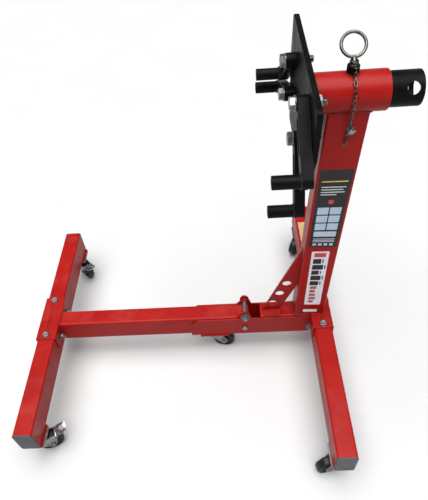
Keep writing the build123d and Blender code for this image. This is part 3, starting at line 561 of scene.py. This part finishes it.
# ------------------------------------------------------------------ carried-over CAD nodes
SLOT_MAT = {"red_paint": RED, "black_paint": BLACK, "zinc_steel": ZINC, "plated_steel": NICKEL, "wheel_rubber": WHEEL, "cap_plastic": CAP}
slot_of = {s["node"]: s["material_slot"] for s in frame["record"]["subparts"]}
BEVEL = {"red_paint": 0.7, "black_paint": 0.6, "zinc_steel": 0.35, "plated_steel": 0.3, "wheel_rubber": 0.4, "cap_plastic": 0.5}
for name, ob in NODES.items():
    mt = SLOT_MAT[slot_of[name]]
    ob.data.materials.clear()
    ob.data.materials.append(mt)
    for p in ob.data.polygons:
        p.use_smooth = True
        p.material_index = 0
    w = ob.modifiers.new("weld", "WELD")
    w.merge_threshold = 0.00002
    b = ob.modifiers.new("bevel", "BEVEL")
    b.width = BEVEL[slot_of[name]] * MM
    b.segments = 2
    b.limit_method = "ANGLE"
    b.angle_limit = radians(38)
    b.use_clamp_overlap = True
    wn = ob.modifiers.new("normals", "WEIGHTED_NORMAL")
    wn.weight = 80
    wn.keep_sharp = True

T = Matrix.Translation
X, Y, Z = Vector((1, 0, 0)), Vector((0, 1, 0)), Vector((0, 0, 1))


def bolt(B, p, d, spin, r, af, head_h, shank, wr=None, wt=1.5, pitch=1.5, tlen=14.0, mat=None, seg=72):
    mat = mat or ZINC
    M = axis_matrix(p, d, radians(spin))
    z = 0.0
    if wr:
        B.add(*washer(r + 0.1, wr, 0.0, wt), M, mat)
        z = wt
    B.add(*hex_part(af, head_h, seg=seg), M @ T((0, 0, z)), mat)
    D = axis_matrix(p, -Vector(d))
    B.add(*lathe([(r, -z), (r, shank - tlen), (r - 0.5, shank - tlen + 0.5)], 32), D, mat)
    B.add(*thread(r, shank - tlen, shank, pitch), D, mat)


def nut(B, p, d, spin, r, af, h, wr=None, wt=1.5, mat=None):
    mat = mat or ZINC
    M = axis_matrix(p, d, radians(spin))
    z = 0.0
    if wr:
        B.add(*washer(r + 0.1, wr, 0.0, wt), M, mat)
        z = wt
    B.add(*hex_part(af, h, bore=r + 0.04, both=True), M @ T((0, 0, z)), mat)


# ------------------------------------------------------------------ fasteners
SADDLE_FACE, SADDLE_TOP = 25.0 + 0.2 + 3.5, Z_TOP + 0.2 + 3.5
for tag, xc, inward, body in (("rear", X_REAR, -1, "rear_frame"), ("front", X_FRONT, 1, "front_leg")):
    B, N = Builder(tag + "_saddle_bolts_detail"), Builder(tag + "_saddle_nuts_detail")
    for sy in (-1, 1):
        bolt(B, (xc, sy * 61.0, SADDLE_TOP + 0.1), Z, 12 if sy > 0 else 25, 5.0, 16.0, 6.4, SADDLE_TOP + 0.1 - 71.0, 9.5, 1.5, 1.5, 22.0)
        bolt(B, (xc - inward * (SADDLE_FACE + 0.1), sy * 44.0, 132.0), -X * inward, 10 + 21 * sy, 5.0, 16.0, 6.0, 2 * SADDLE_FACE + 15.1, 9.5, 1.5, 1.5, 22.0)
        nut(N, (xc, sy * 61.0, 84.8), -Z, 5, 5.0, 16.0, 8.0, 9.5, 1.5)
        nut(N, (xc + inward * (SADDLE_FACE + 0.1), sy * 44.0, 132.0), X * inward, 20 - 13 * sy, 5.0, 16.0, 8.0, 9.5, 1.5)
    B.make(body, "zinc_steel", (tag + "_saddle_bolts",))
    N.make(body, "zinc_steel", (tag + "_saddle_nuts",))

B = Builder("fold_pivot_bolt_detail")
bolt(B, (X_PIV, CH_YO + 0.1, Z_PIV), Y, 8, 6.0, 18.0, 7.2, 2 * CH_YO + 17.1, 10.5, 1.7, 1.75, 20.0)
B.make("rear_frame", "zinc_steel", ("fold_pivot_bolt",))
B = Builder("fold_pivot_nut_detail")
nut(B, (X_PIV, -CH_YO - 0.1, Z_PIV), -Y, 14, 6.0, 18.0, 10.0, 11.5, 1.9)
B.make("rear_frame", "zinc_steel", ("fold_pivot_nut",))

B = Builder("fold_lock_pin_detail")
L = 2 * CH_YO + 14.0
prof = rounded([(0.0, 0.0), (5.6, 0.0), (8.0, 1.1), (8.5, 2.4), (8.5, 4.3), (8.0, 4.7), (6.0, 4.7), (6.0, L - 6.5), (5.2, L - 6.2), (5.2, L - 5.0), (6.0, L - 4.7), (6.0, L - 2.0), (4.2, L), (0.0, L)], 0.5)
B.add(*lathe(prof[1:-1], 48), axis_matrix((X_PIV - 2.0, -CH_YO - 5.0, LOCK_Z), Y), ZINC)
B.make("fold_lock", "zinc_steel", ("fold_lock_pin",))

B, N = Builder("arm_bolts_detail"), Builder("arm_nuts_detail")
for k, (ay, az, ang) in enumerate(ARMS.values()):
    bolt(B, (XA0 - 0.5, ay, Z_AXIS + az), -X, 33 - 22 * k, 7.0, 22.0, 9.0, X_PLATE1 + 22.0 - XA0 + 0.5, 14.0, 2.5, 2.0, 24.0)
    nut(N, (X_PLATE1 + 0.1, ay, Z_AXIS + az), X, 51 - 31 * k, 7.0, 22.0, 11.4, 14.0, 2.5)
B.make("head", slot_of["arm_bolts"], ("arm_bolts",))
N.make("head", slot_of["arm_nuts"], ("arm_nuts",))

for tag, names, body in (("rear", ("rear_near", "rear_far", "centre"), "rear_frame"), ("front", ("front_near", "front_far"), "front_leg")):
    B = Builder(tag + "_caster_bolts_detail")
    for n in names:
        cx, cy, _ = CASTERS[n]
        w, h = (64.0, 56.0) if n == "centre" else (56.0, 58.0)
        for ux in (-1, 1):
            for uy in (-1, 1):
                px, py = cx + ux * (w / 2 - 8), cy + uy * (h / 2 - 8)
                M = axis_matrix((px, py, 77.75), -Z, radians(15 * ux + 8 * uy))
                B.add(*washer(3.3, 5.6, 0.0, 0.8, 28), M, ZINC)
                B.add(*hex_part(9.6, 3.3, dish=0.2, seg=48), M @ T((0, 0, 0.8)), ZINC)
                B.add(*lathe([(3.0, 0.0), (3.0, 3.1)], 20), axis_matrix((px, py, 77.8), Z), ZINC)
    B.make(body, "zinc_steel", (tag + "_caster_bolts",))


# ------------------------------------------------------------------ casters
def caster_matrix(n):
    cx, cy, a = CASTERS[n]
    return T((cx, cy, 0)) @ Matrix.Rotation(radians(a), 4, "Z")


half = [(4.06, 11.0), (8.6, 11.0), (9.6, 10.2), (10.4, 7.7), (21.4, 7.5), (22.2, 9.0), (23.4, 9.4), (23.9, 8.6), (24.6, 8.6), (25.1, 10.1), (27.6, 10.8), (29.8, 9.7), (31.1, 7.7), (31.42, 5.6), (31.5, 0.0)]
loop = rounded(half, 0.6, 3)
loop = loop + [(r, -z) for r, z in loop[::-1][1:]]
wheel_v, wheel_f = ring_profile(loop[::-1], 96)
seam = circle((0, 0, 0), 31.45, "z", 96)


def ribs(side):
    v, f = [], []
    for k in range(10):
        a = 2 * pi * k / 10 + 0.2
        ca, sa = cos(a), sin(a)
        o = len(v)
        for r, t, z in ((9.6, 1.5, 7.0), (22.4, 1.1, 7.0), (22.4, 0.8, 8.7), (9.6, 1.1, 9.4)):
            for s in (-1, 1):
                v.append((r * ca - s * t * sa, r * sa + s * t * ca, side * z))
        q = [(0, 1, 3, 2), (2, 3, 5, 4), (4, 5, 7, 6), (6, 7, 1, 0), (0, 2, 4, 6), (1, 7, 5, 3)]
        f += [tuple(o + i for i in (t if side > 0 else t[::-1])) for t in q]
    return v, f


def lever():
    """Loop-ended foot lever in the fork's frame, turning on its rivet."""
    b, z = TRAIL + 16.0, 62.0
    mid = [(b - 0.2, z + 2.0), (b + 8, z + 3.5), (b + 17, z + 6.2), (b + 27, z + 9.6), (b + 30.4, z + 10.4), (b + 32.4, z + 9.5)]
    acc = [0.0]
    for p, q in zip(mid[:-1], mid[1:]):
        acc.append(acc[-1] + math.dist(p, q))
    S = acc[-1]

    def at(s):
        s = min(max(s, 0.0), S)
        for i in range(len(mid) - 1):
            if s <= acc[i + 1] + 1e-9:
                t = (s - acc[i]) / (acc[i + 1] - acc[i])
                t2 = t
                dx, dz = mid[i + 1][0] - mid[i][0], mid[i + 1][1] - mid[i][1]
                n = math.hypot(dx, dz)
                return (mid[i][0] + dx * t2, mid[i][1] + dz * t2), (-dz / n, dx / n)

    n = 96
    rows = []
    for k, (off, lift) in enumerate(((0.0, -1.0), (-0.35, -0.55), (-0.45, 0.0), (-0.35, 0.55), (0.0, 1.0))):
        rows.append(("o", off, lift))
    for off, lift in ((0.0, 1.0), (-0.35, 0.55), (-0.45, 0.0), (-0.35, -0.55), (0.0, -1.0)):
        rows.append(("i", off, lift))
    out = []
    for kind, off, lift in rows:
        ring = []
        for j in range(n):
            th = 2 * pi * j / n
            e = 0.55
            cx_, sy_ = cos(th), sin(th)
            ex = math.copysign(abs(cx_) ** e, cx_)
            ey = math.copysign(abs(sy_) ** e, sy_)
            if kind == "o":
                s = S / 2 + (S / 2 + off) * ex
                wy = (15.4 if s > 9 else 11.9 + 3.5 * max(0.0, s - 4) / 5) + off
                y = wy * ey
            else:
                s = S * 0.60 + (S * 0.20 - off) * ex
                y = (8.6 - off) * ey
            (px, pz), (nx, nz) = at(s)
            ring.append((px + nx * lift, y, pz + nz * lift))
        out.append(ring)
    return grid(out + [out[0]], True)


for n in CASTERS:
    M = caster_matrix(n)
    W = M @ T((TRAIL, 0, WHEEL_R)) @ Matrix.Rotation(radians(90), 4, "X")
    B = Builder("wheel_" + n + "_detail")
    B.add(wheel_v, wheel_f, W, WHEEL)
    for s in (-1, 1):
        B.add(*ribs(s), W, WHEEL)
    B.make("wheel_" + n, "wheel_rubber", ("wheel_" + n,), smooth=38)
    A = Builder("axle_" + n + "_detail")
    ax = M @ T((TRAIL, 15.3, WHEEL_R)) @ Matrix.Rotation(radians(-90), 4, "X")
    A.add(*lathe(rounded([(6.4, 0.0), (6.4, 1.6), (5.4, 3.0), (3.4, 3.9), (0.01, 4.1)], 0.5)[:-1], 40), ax, ZINC)
    nx = M @ T((TRAIL, -15.3, WHEEL_R)) @ Matrix.Rotation(radians(90), 4, "X") @ Matrix.Rotation(0.35, 4, "Z")
    A.add(*washer(4.1, 7.2, 0.0, 0.9, 32), nx, ZINC)
    A.add(*hex_part(11.0, 4.2, bore=4.02, both=True, seg=48), nx @ T((0, 0, 0.9)), ZINC)
    A.add(*lathe([(4.0, -30.6), (4.0, -2.0)], 28), nx, ZINC)
    A.add(*thread(4.0, -2.0, 5.9, 1.25), nx, ZINC)
    A.make("fork_" + n, slot_of["axle_" + n], ("axle_" + n,))
    # raised ball-race rings under the top plate
    R = Builder("race_" + n)
    cx, cy, _ = CASTERS[n]
    R.add(*ring_profile([(18.6, 69.02), (21.2, 69.02), (21.6, 69.8), (20.9, 71.4), (19.5, 71.7), (18.6, 71.2)], 64), T((cx, cy, 0)), ZINC)
    R.make("fork_" + n, "zinc_steel")

for n in ("front_near", "front_far"):
    M = caster_matrix(n)
    B = Builder("brake_" + n + "_detail")
    B.add(*lever(), M, BRIGHT)
    B.add(*ring_profile([(2.05, -12.2), (3.1, -12.2), (3.4, -11.8), (3.4, 11.8), (3.1, 12.2), (2.05, 12.2)][::-1], 28), M @ T((TRAIL + 16.0, 0, 62.0)) @ Matrix.Rotation(radians(90), 4, "X"), BRIGHT)
    B.make("brake_" + n, slot_of["brake_" + n], ("brake_" + n,), smooth=50)

# ------------------------------------------------------------------ ring lock pin and pull ring
B = Builder("lock_pin_detail")
prof = [(4.6, 884.45), (6.0, 885.6), (6.0, 895.0), (6.0, 906.8), (7.6, 907.0), (8.0, 907.6), (8.0, 911.2), (7.2, 912.4), (5.2, 912.7)]
B.add(*lathe(rounded(prof, 0.4), 56), T((X_LOCK, 0, 0)), NICKEL)
lean = radians(45)
u = Vector((0, sin(lean), cos(lean)))
base = Vector((X_LOCK, 0, BOSS_TOP + 5.5))
B.add(*lathe(rounded([(5.0, 0.0), (4.8, 2.0), (4.0, 4.4), (3.7, 6.0), (4.2, 7.6), (3.6, 10.4), (1.6, 11.6)], 0.8), 40), axis_matrix(base, u), NICKEL)
B.make("lock_pin", slot_of["lock_pin"], ("lock_pin",))
B = Builder("pull_ring_detail")
cen = base + u * 30.0
rp = [tuple(cen + X * (22.0 * cos(a)) + u * (22.0 * sin(a))) for a in [2 * pi * k / 120 for k in range(120)]]
B.add(*sweep(rp, 3.0, 20, True), None, NICKEL)
B.make("lock_pin", slot_of["pull_ring"], ("pull_ring",))

# ------------------------------------------------------------------ retaining chain
CHAIN_X = X0 + 340.0
LW, LL, LWIRE = 7.6, 12.0, 1.0
B = Builder("lock_chain_detail")


def link_mesh(c, tdir, ndir):
    tdir, ndir = Vector(tdir).normalized(), Vector(ndir).normalized()
    side = ndir.cross(tdir)
    r, h = (LW - 2 * LWIRE) / 2, (LL - LW) / 2
    pts = []
    for a in [(-90 + 15 * k) for k in range(13)]:
        pts.append((h + r * cos(radians(a)), r * sin(radians(a))))
    for a in [(90 + 15 * k) for k in range(13)]:
        pts.append((-h + r * cos(radians(a)), r * sin(radians(a))))
    return [tuple(Vector(c) + tdir * p + side * q) for p, q in pts]


RC = 38.0 + LW / 2 + 0.3
anchor = (-30.8, 790.0)
dd = sqrt(anchor[0] ** 2 + (anchor[1] - Z_AXIS) ** 2)
ta = atan2(anchor[1] - Z_AXIS, anchor[0]) - acos(RC / dd)
if ta < -pi:
    ta += 2 * pi
pts = [(-7.6, BOSS_TOP + 1.3), (-15.5, BOSS_TOP + 1.3), (-17.6, BOSS_TOP - 5.0)]
end_a = ta if ta > 0 else ta + 2 * pi
k = radians(112.0)
while k < end_a:
    pts.append((RC * cos(k), Z_AXIS + RC * sin(k)))
    k += radians(3)
pts += [(RC * cos(end_a), Z_AXIS + RC * sin(end_a)), anchor]


def along(poly, step, start):
    out, acc, nxt = [], 0.0, start
    for a, b in zip(poly[:-1], poly[1:]):
        seg = math.dist(a, b)
        while nxt <= acc + seg:
            f = (nxt - acc) / seg
            out.append(((a[0] + f * (b[0] - a[0]), a[1] + f * (b[1] - a[1])), ((b[0] - a[0]) / seg, (b[1] - a[1]) / seg)))
            nxt += step
        acc += seg
    return out


PITCH = LL - 4 * LWIRE + 0.5
for i, ((y, z), (ty, tz)) in enumerate(along(pts, PITCH, 4.4)):
    nd = (1, 0, 0) if i % 2 else (0, -tz, ty)
    B.add(*sweep(link_mesh((CHAIN_X, y, z), (0, ty, tz), nd), LWIRE, 10, True), None, NICKEL)
for i, ((y, z), (ty, tz)) in enumerate(along([(-29.4, 783.0), (-29.0, 748.0)], PITCH, 2.0)):
    nd = (1, 0, 0) if i % 2 == 0 else (0, -tz, ty)
    B.add(*sweep(link_mesh((CHAIN_X - 1.5, y, z), (0, ty, tz), nd), LWIRE, 10, True), None, NICKEL)
B.add(*sweep(circle((X_LOCK, 0, BOSS_TOP + 1.1), 8.0, "z", 60), 0.9, 10, True), None, NICKEL)
B.make("rear_frame", slot_of["lock_chain"], ("lock_chain",), smooth=60)

B = Builder("chain_anchor_detail")
ca = axis_matrix((CHAIN_X + 4.5, -25.05, 787.0), -Y)
B.add(*washer(3.6, 7.0, 0.0, 1.2, 40), ca, ZINC)
B.add(*lathe(rounded([(3.5, 0.3), (3.5, 10.3), (5.6, 10.5), (6.0, 11.1), (5.8, 12.4), (4.4, 13.3)], 0.4), 40), ca, ZINC)
rows = []
hull = [(CHAIN_X + 0.6, 784.6), (CHAIN_X + 12.6, 783.8), (CHAIN_X + 14.0, 786.4), (CHAIN_X + 13.2, 788.6), (CHAIN_X + 5.0, 793.0), (CHAIN_X + 1.4, 791.6)]
hc = (sum(p[0] for p in hull) / 6, sum(p[1] for p in hull) / 6)
smooth_h = rounded(hull + [hull[0], hull[1]], 1.6, 5)[1:-1]
for yy, sc in ((-34.6, 0.94), (-34.4, 1.0), (-32.8, 1.0), (-32.6, 0.94)):
    rows.append([(hc[0] + (px - hc[0]) * sc, yy, hc[1] + (pz - hc[1]) * sc) for px, pz in smooth_h])
B.add(*grid(rows, True, (hc[0], -34.6, hc[1]), (hc[0], -32.6, hc[1])), None, ZINC)
B.make("rear_frame", slot_of["chain_anchor"], ("chain_anchor",))

# ------------------------------------------------------------------ weld beads
def col_edge(z, rear=False):
    f = (z - 168.7) / (828.0 - 168.7)
    return X0 + (358.0 + 20.5 * f if rear else 275.0 + 22.5 * f)


zw = 166.9
B = Builder("weld_column_foot")
B.add(*bead([(X_REAR - 28.0, -25.2, zw), (col_edge(zw) + 4, -25.2, zw), (col_edge(zw) - 0.2, -21, zw), (col_edge(zw) - 0.2, 21, zw), (col_edge(zw) + 4, 25.2, zw), (X_REAR - 28.0, 25.2, zw)], 2.7, seed=1), None, WELD_RED)
zs = SADDLE_TOP + 0.4
B.add(*bead([(X_REAR - 28.5, -25.4, zs), (col_edge(zs, True) - 4, -25.4, zs), (col_edge(zs, True) + 0.3, -21, zs), (col_edge(zs, True) + 0.3, 21, zs), (col_edge(zs, True) - 4, 25.4, zs), (X_REAR - 28.5, 25.4, zs)], 2.1, seed=2), None, WELD_RED)
B.make("rear_frame", "red_paint", smooth=180)

B = Builder("weld_housing")
path = []
for yy in [(-25 + 50 * k / 24) for k in range(25)]:
    path.append((col_edge(826) - 0.6, yy, Z_AXIS - sqrt(38.3 ** 2 - yy * yy)))
zsd = Z_AXIS - sqrt(38.3 ** 2 - 25.3 ** 2)
path += [(x, 25.5, zsd) for x in (col_edge(826) + 20, col_edge(826) + 40, col_edge(826) + 60)]
for yy in [(25 - 50 * k / 24) for k in range(25)]:
    path.append((col_edge(826, True) + 0.6, yy, Z_AXIS - sqrt(38.3 ** 2 - yy * yy)))
path += [(x, -25.5, zsd) for x in (col_edge(826) + 60, col_edge(826) + 40, col_edge(826) + 20)]
B.add(*bead(path, 2.0, True, seed=3), None, WELD_RED)
B.add(*bead([(X_LOCK + 11.8 * cos(a), 11.8 * sin(a), Z_AXIS + sqrt(38.2 ** 2 - (11.8 * sin(a)) ** 2)) for a in [2 * pi * k / 48 for k in range(48)]], 1.4, True, 2.6, seed=4), None, WELD_RED)
B.make("rear_frame", "red_paint", smooth=180)

B = Builder("weld_brace")
for yy, za, zb in ((-5.5, 283.0, 424.0), (1.5, 283.0, 424.0)):
    B.add(*bead([(col_edge(za) - 0.5, yy, za), (col_edge(zb) - 0.5, yy, zb)], 1.6, seed=int(7 + yy)), None, WELD_RED)
B.add(*bead([(192.0, 1.5, 165.6), (236.0, 1.5, 165.6)], 1.6, seed=5), None, WELD_RED)
B.add(*bead([(196.0, -24.0, 165.5), (236.0, -24.0, 165.5)], 1.6, seed=9), None, WELD_RED)
B.add(*bead([(242.8, -23.0, 165.5), (242.8, -5.0, 165.5)], 1.6, seed=10), None, WELD_RED)
B.make("rear_frame", "red_paint", smooth=180)

B = Builder("weld_channel")
xs = X_REAR - 28.9
for sy in (-1, 1):
    B.add(*bead([(xs, sy * 29.3, 121.0), (xs, sy * 29.3, 158.5)], 1.9, seed=11 + sy), None, WELD_RED)
    for a, b in ((190.0, 226.0), (246.0, 282.0), (298.0, 326.0)):
        B.add(*bead([(a, sy * 25.8, 160.2), (b, sy * 25.8, 160.2)], 1.6, seed=a + sy), None, WELD_RED)
B.add(*bead([(xs, -23.5, 165.4), (xs, 23.5, 165.4)], 1.7, seed=14), None, WELD_RED)
for sx in (-1, 1):
    cx = CASTERS["centre"][0] + 42.3 * sx
    B.add(*bead([(cx, -27.0, 84.2), (cx, 27.0, 84.2)], 1.4, seed=15 + sx), None, WELD_RED)
for nme in ("rear_near", "rear_far"):
    cx, cy, _ = CASTERS[nme]
    for s in (-1, 1):
        B.add(*bead([(cx - 23, cy + 30.3 * s, 84.0), (cx + 23, cy + 30.3 * s, 84.0)], 1.4, seed=cy + s), None, WELD_RED)
B.make("rear_frame", "red_paint", smooth=180)

B = Builder("weld_front_leg")
xf = X_FRONT + 29.2
for sy in (-1, 1):
    B.add(*bead([(xf, sy * 25.3, 120.5), (xf, sy * 25.3, 160.0)], 1.9, seed=17 + sy), None, WELD_RED)
    B.add(*bead([(116.5, sy * 19.9, 164.6), (148.0, sy * 19.9, 164.6)], 1.3, seed=19 + sy), None, WELD_RED)
B.add(*bead([(xf, -22.5, 164.5), (xf, 22.5, 164.5)], 1.9, seed=21), None, WELD_RED)
for nme in ("front_near", "front_far"):
    cx, cy, _ = CASTERS[nme]
    for s in (-1, 1):
        B.add(*bead([(cx - 23, cy + 30.3 * s, 84.0), (cx + 23, cy + 30.3 * s, 84.0)], 1.4, seed=cy + s), None, WELD_RED)
B.make("front_leg", "red_paint", smooth=180)

B = Builder("weld_head")
B.add(*bead(circle((X_PLATE1 + 0.55, 0, Z_AXIS), 33.6, "x", 90), 1.1, True, seed=22), None, WELD_BLACK)
B.make("head", "black_paint", smooth=180)
for n, (ay, az, ang) in ARMS.items():
    ey, ez = ay + ARM_L * cos(radians(ang)), Z_AXIS + az + ARM_L * sin(radians(ang))
    B = Builder("weld_arm_" + n)
    B.add(*bead(circle((XA0 - 0.5, ey, ez), 13.0, "x", 60), 1.6, True, 2.8, seed=ang), None, WELD_BLACK)
    B.make("arm_" + n, "black_paint", smooth=180)

# ------------------------------------------------------------------ blank stickers on the column and a paper patch
def quad_point(q, u, v):
    (x00, z00), (x10, z10), (x01, z01), (x11, z11) = q   # top left, top right, bottom left, bottom right
    x = (x00 * (1 - u) + x10 * u) * (1 - v) + (x01 * (1 - u) + x11 * u) * v
    z = (z00 * (1 - u) + z10 * u) * (1 - v) + (z01 * (1 - u) + z11 * u) * v
    return x + 356.65, z


def sticker(B, q, u0, u1, v0, v1, y0, y1, mat, r=1.5):
    W = math.dist(q[0], q[1]) * (u1 - u0)
    H = math.dist(q[0], q[2]) * (v1 - v0)
    r = min(r, 0.45 * W, 0.45 * H)
    pts = []
    for cx, cy, a0 in ((W - r, r, -90), (W - r, H - r, 0), (r, H - r, 90), (r, r, 180)):
        for k in range(7):
            a = radians(a0 + 15 * k)
            pts.append((cx + r * cos(a), cy + r * sin(a)))
    rows = []
    for y, inset in ((y0, 0.0), (y1 + 0.03, 0.0), (y1, 0.05)):
        row = []
        for px, py in pts:
            u = u0 + (u1 - u0) * (px + (W / 2 - px) * inset / W) / W
            v = v0 + (v1 - v0) * (py + (H / 2 - py) * inset / H) / H
            x, z = quad_point(q, u, v)
            row.append((x, y, z))
        rows.append(row)
    cx, cz = quad_point(q, (u0 + u1) / 2, (v0 + v1) / 2)
    v, f = grid(rows, True, (cx, y0, cz), (cx, y1, cz))
    B.add(v, f, None, mat)


PANEL = ((-53.5, 689.6), (17.1, 688.2), (-58.8, 453.4), (7.8, 449.6))
B = Builder("column_label_dark")
Y0, Y1, Y2 = -25.0, -25.16, -25.24
sticker(B, PANEL, 0, 1, 0, 1, Y0, Y1, V_BLACK, 3.0)
sticker(B, PANEL, 0.10, 0.90, 0.128, 0.142, Y0, Y2, V_YELLOW, 0.6)
for v, a, b in ((0.195, 0.12, 0.88), (0.225, 0.12, 0.80), (0.255, 0.12, 0.86), (0.285, 0.12, 0.62)):
    sticker(B, PANEL, a, b, v, v + 0.010, Y0, Y2, V_WHITE, 0.5)
sticker(B, PANEL, 0.42, 0.58, 0.355, 0.405, Y0, Y2, V_RED, 2.0)
for i in range(3):
    for j in range(2):
        sticker(B, PANEL, 0.11 + 0.41 * j, 0.48 + 0.41 * j, 0.45 + 0.105 * i, 0.54 + 0.105 * i, Y0, Y2, V_TILE, 1.2)
sticker(B, PANEL, 0.11, 0.89, 0.772, 0.845, Y0, Y2, V_TILE, 1.2)
for v in (0.875, 0.895, 0.915):
    sticker(B, PANEL, 0.12, 0.88, v, v + 0.007, Y0, Y2, V_WHITE, 0.4)
for j in range(4):
    sticker(B, PANEL, 0.13 + 0.20 * j, 0.26 + 0.20 * j, 0.945, 0.975, Y0, Y2, V_TILE, 0.8)
B.make("rear_frame", smooth=30)
PANEL2 = ((-48.4, 435.8), (-5.1, 434.5), (-51.6, 215.9), (-7.5, 212.7))
B = Builder("column_label_light")
sticker(B, PANEL2, 0, 1, 0, 1, Y0, Y1, V_WHITE, 2.5)
sticker(B, PANEL2, 0.16, 0.84, 0.025, 0.095, Y0, Y2, V_RED, 1.2)
v = 0.125
for i, (h, a, b, mat) in enumerate(((0.085, 0.14, 0.62, V_BLACK), (0.085, 0.14, 0.78, V_BLACK), (0.075, 0.14, 0.58, V_BLACK), (0.085, 0.14, 0.74, V_BLACK), (0.080, 0.14, 0.66, V_BLACK),
                                    (0.055, 0.20, 0.60, V_PLUM), (0.055, 0.20, 0.54, V_RED), (0.050, 0.20, 0.58, V_PLUM), (0.055, 0.20, 0.62, V_PLUM), (0.045, 0.20, 0.52, V_RED))):
    sticker(B, PANEL2, a, b, v, v + h, Y0, Y2, mat, 1.0)
    if i < 5:
        sticker(B, PANEL2, b + 0.06, b + 0.14, v + 0.01, v + h - 0.01, Y0, Y2, V_NAVY, 0.6)
    v += h + 0.018
B.make("rear_frame", smooth=30)
B = Builder("column_label_small")
PANEL3 = ((-52.1, 186.0 + 7), (-12.7, 183.1 + 7), (-52.3, 186.0 - 5), (-12.9, 183.1 - 5))
sticker(B, PANEL3, 0, 1, 0, 1, Y0, Y1, V_WHITE, 1.2)
B.make("rear_frame", smooth=30)

B = Builder("crossbar_paper_label")
nu, nv = 10, 40
xa, xb, ya, yb = X_REAR - 18.5, X_REAR + 18.5, 197.0, 350.0


def paper(i, j, top):
    x = xa + (xb - xa) * i / nu + 0.5 * sin(j * 0.9) * (1 if i in (0, nu) else 0)
    y = ya + (yb - ya) * j / nv + 0.6 * sin(i * 1.7) * (1 if j in (0, nv) else 0)
    return (x, y, 165.02 + (0.22 + 0.06 * sin(i * 1.3 + j * 0.5) * cos(j * 0.77) if top else 0.0))


v = [paper(i, j, True) for i in range(nu + 1) for j in range(nv + 1)] + [paper(i, j, False) for i in range(nu + 1) for j in range(nv + 1)]
o = (nu + 1) * (nv + 1)
f = []
for i in range(nu):
    for j in range(nv):
        a = i * (nv + 1) + j
        f.append((a, a + nv + 1, a + nv + 2, a + 1))
        f.append((o + a, o + a + 1, o + a + nv + 2, o + a + nv + 1))
for j in range(nv):
    a, b = j, nu * (nv + 1) + j
    f.append((a, a + 1, o + a + 1, o + a))
    f.append((b + 1, b, o + b, o + b + 1))
for i in range(nu):
    a, b = i * (nv + 1), i * (nv + 1) + nv
    f.append((a + nv + 1, a, o + a, o + a + nv + 1))
    f.append((b, b + nv + 1, o + b + nv + 1, o + b))
B.add(v, f, None, PAPER)
B.make("rear_frame", smooth=60)

# ------------------------------------------------------------------ floor, light, world
fm = bpy.data.meshes.new("floor")
fm.from_pydata([(-9, -9, 0), (9, -9, 0), (9, 9, 0), (-9, 9, 0)], [], [(0, 1, 2, 3)])
floor = bpy.data.objects.new("floor", fm)
scene.collection.objects.link(floor)
mf = Mat("floor")
mf.set(Metallic=0.0)
mf.to(mf.ramp(mf.noise(3.0, 3), [(0.3, (0.480, 0.480, 0.480)), (0.7, (0.495, 0.495, 0.495))]), "Base Color")
mf.b.inputs["Roughness"].default_value = 0.65
mf.b.inputs["Specular IOR Level"].default_value = 0.1
fm.materials.append(mf.m)

world = bpy.data.worlds.new("world")
scene.world = world
world.use_nodes = True
wt = world.node_tree
bg = [n for n in wt.nodes if n.type == "BACKGROUND"][0]
wc = wt.nodes.new("ShaderNodeTexCoord")
ws = wt.nodes.new("ShaderNodeSeparateXYZ")
wr = wt.nodes.new("ShaderNodeMapRange")
wr.inputs["From Min"].default_value = 0.0
wr.inputs["From Max"].default_value = 0.22
wr.inputs["To Min"].default_value = 0.80
wr.inputs["To Max"].default_value = 0.13
wt.links.new(wc.outputs["Generated"], ws.inputs[0])
wt.links.new(ws.outputs["Z"], wr.inputs["Value"])
wt.links.new(wr.outputs[0], bg.inputs[0])
bg.inputs[1].default_value = 1.0


def sun(name, direction, angle, strength):
    d = bpy.data.lights.new(name, "SUN")
    d.angle = radians(angle)
    d.energy = strength
    o = bpy.data.objects.new(name, d)
    scene.collection.objects.link(o)
    o.location = (0, 0, 3)
    o.rotation_mode = "QUATERNION"
    o.rotation_quaternion = Vector(direction).to_track_quat("-Z", "Y")
    return o


def area(name, loc, target, size, power, colour=(1, 1, 1), size_y=None):
    d = bpy.data.lights.new(name, "AREA")
    d.shape = "RECTANGLE"
    d.size, d.size_y = size, size_y or size
    d.energy = power
    d.color = colour
    o = bpy.data.objects.new(name, d)
    scene.collection.objects.link(o)
    o.location = loc
    o.rotation_mode = "QUATERNION"
    o.rotation_quaternion = (Vector(target) - Vector(loc)).to_track_quat("-Z", "Y")
    return o


sun("soft_top", (0.04, 0.13, -1.0), 62.0, 6.1)
area("fill", (1.2, -2.6, 1.0), (0, 0, 0.4), 1.6, 3.0)
scene.view_settings.view_transform = "Standard"
scene.view_settings.look = "None"
scene.view_settings.exposure = 0.0
scene.view_settings.gamma = 1.0
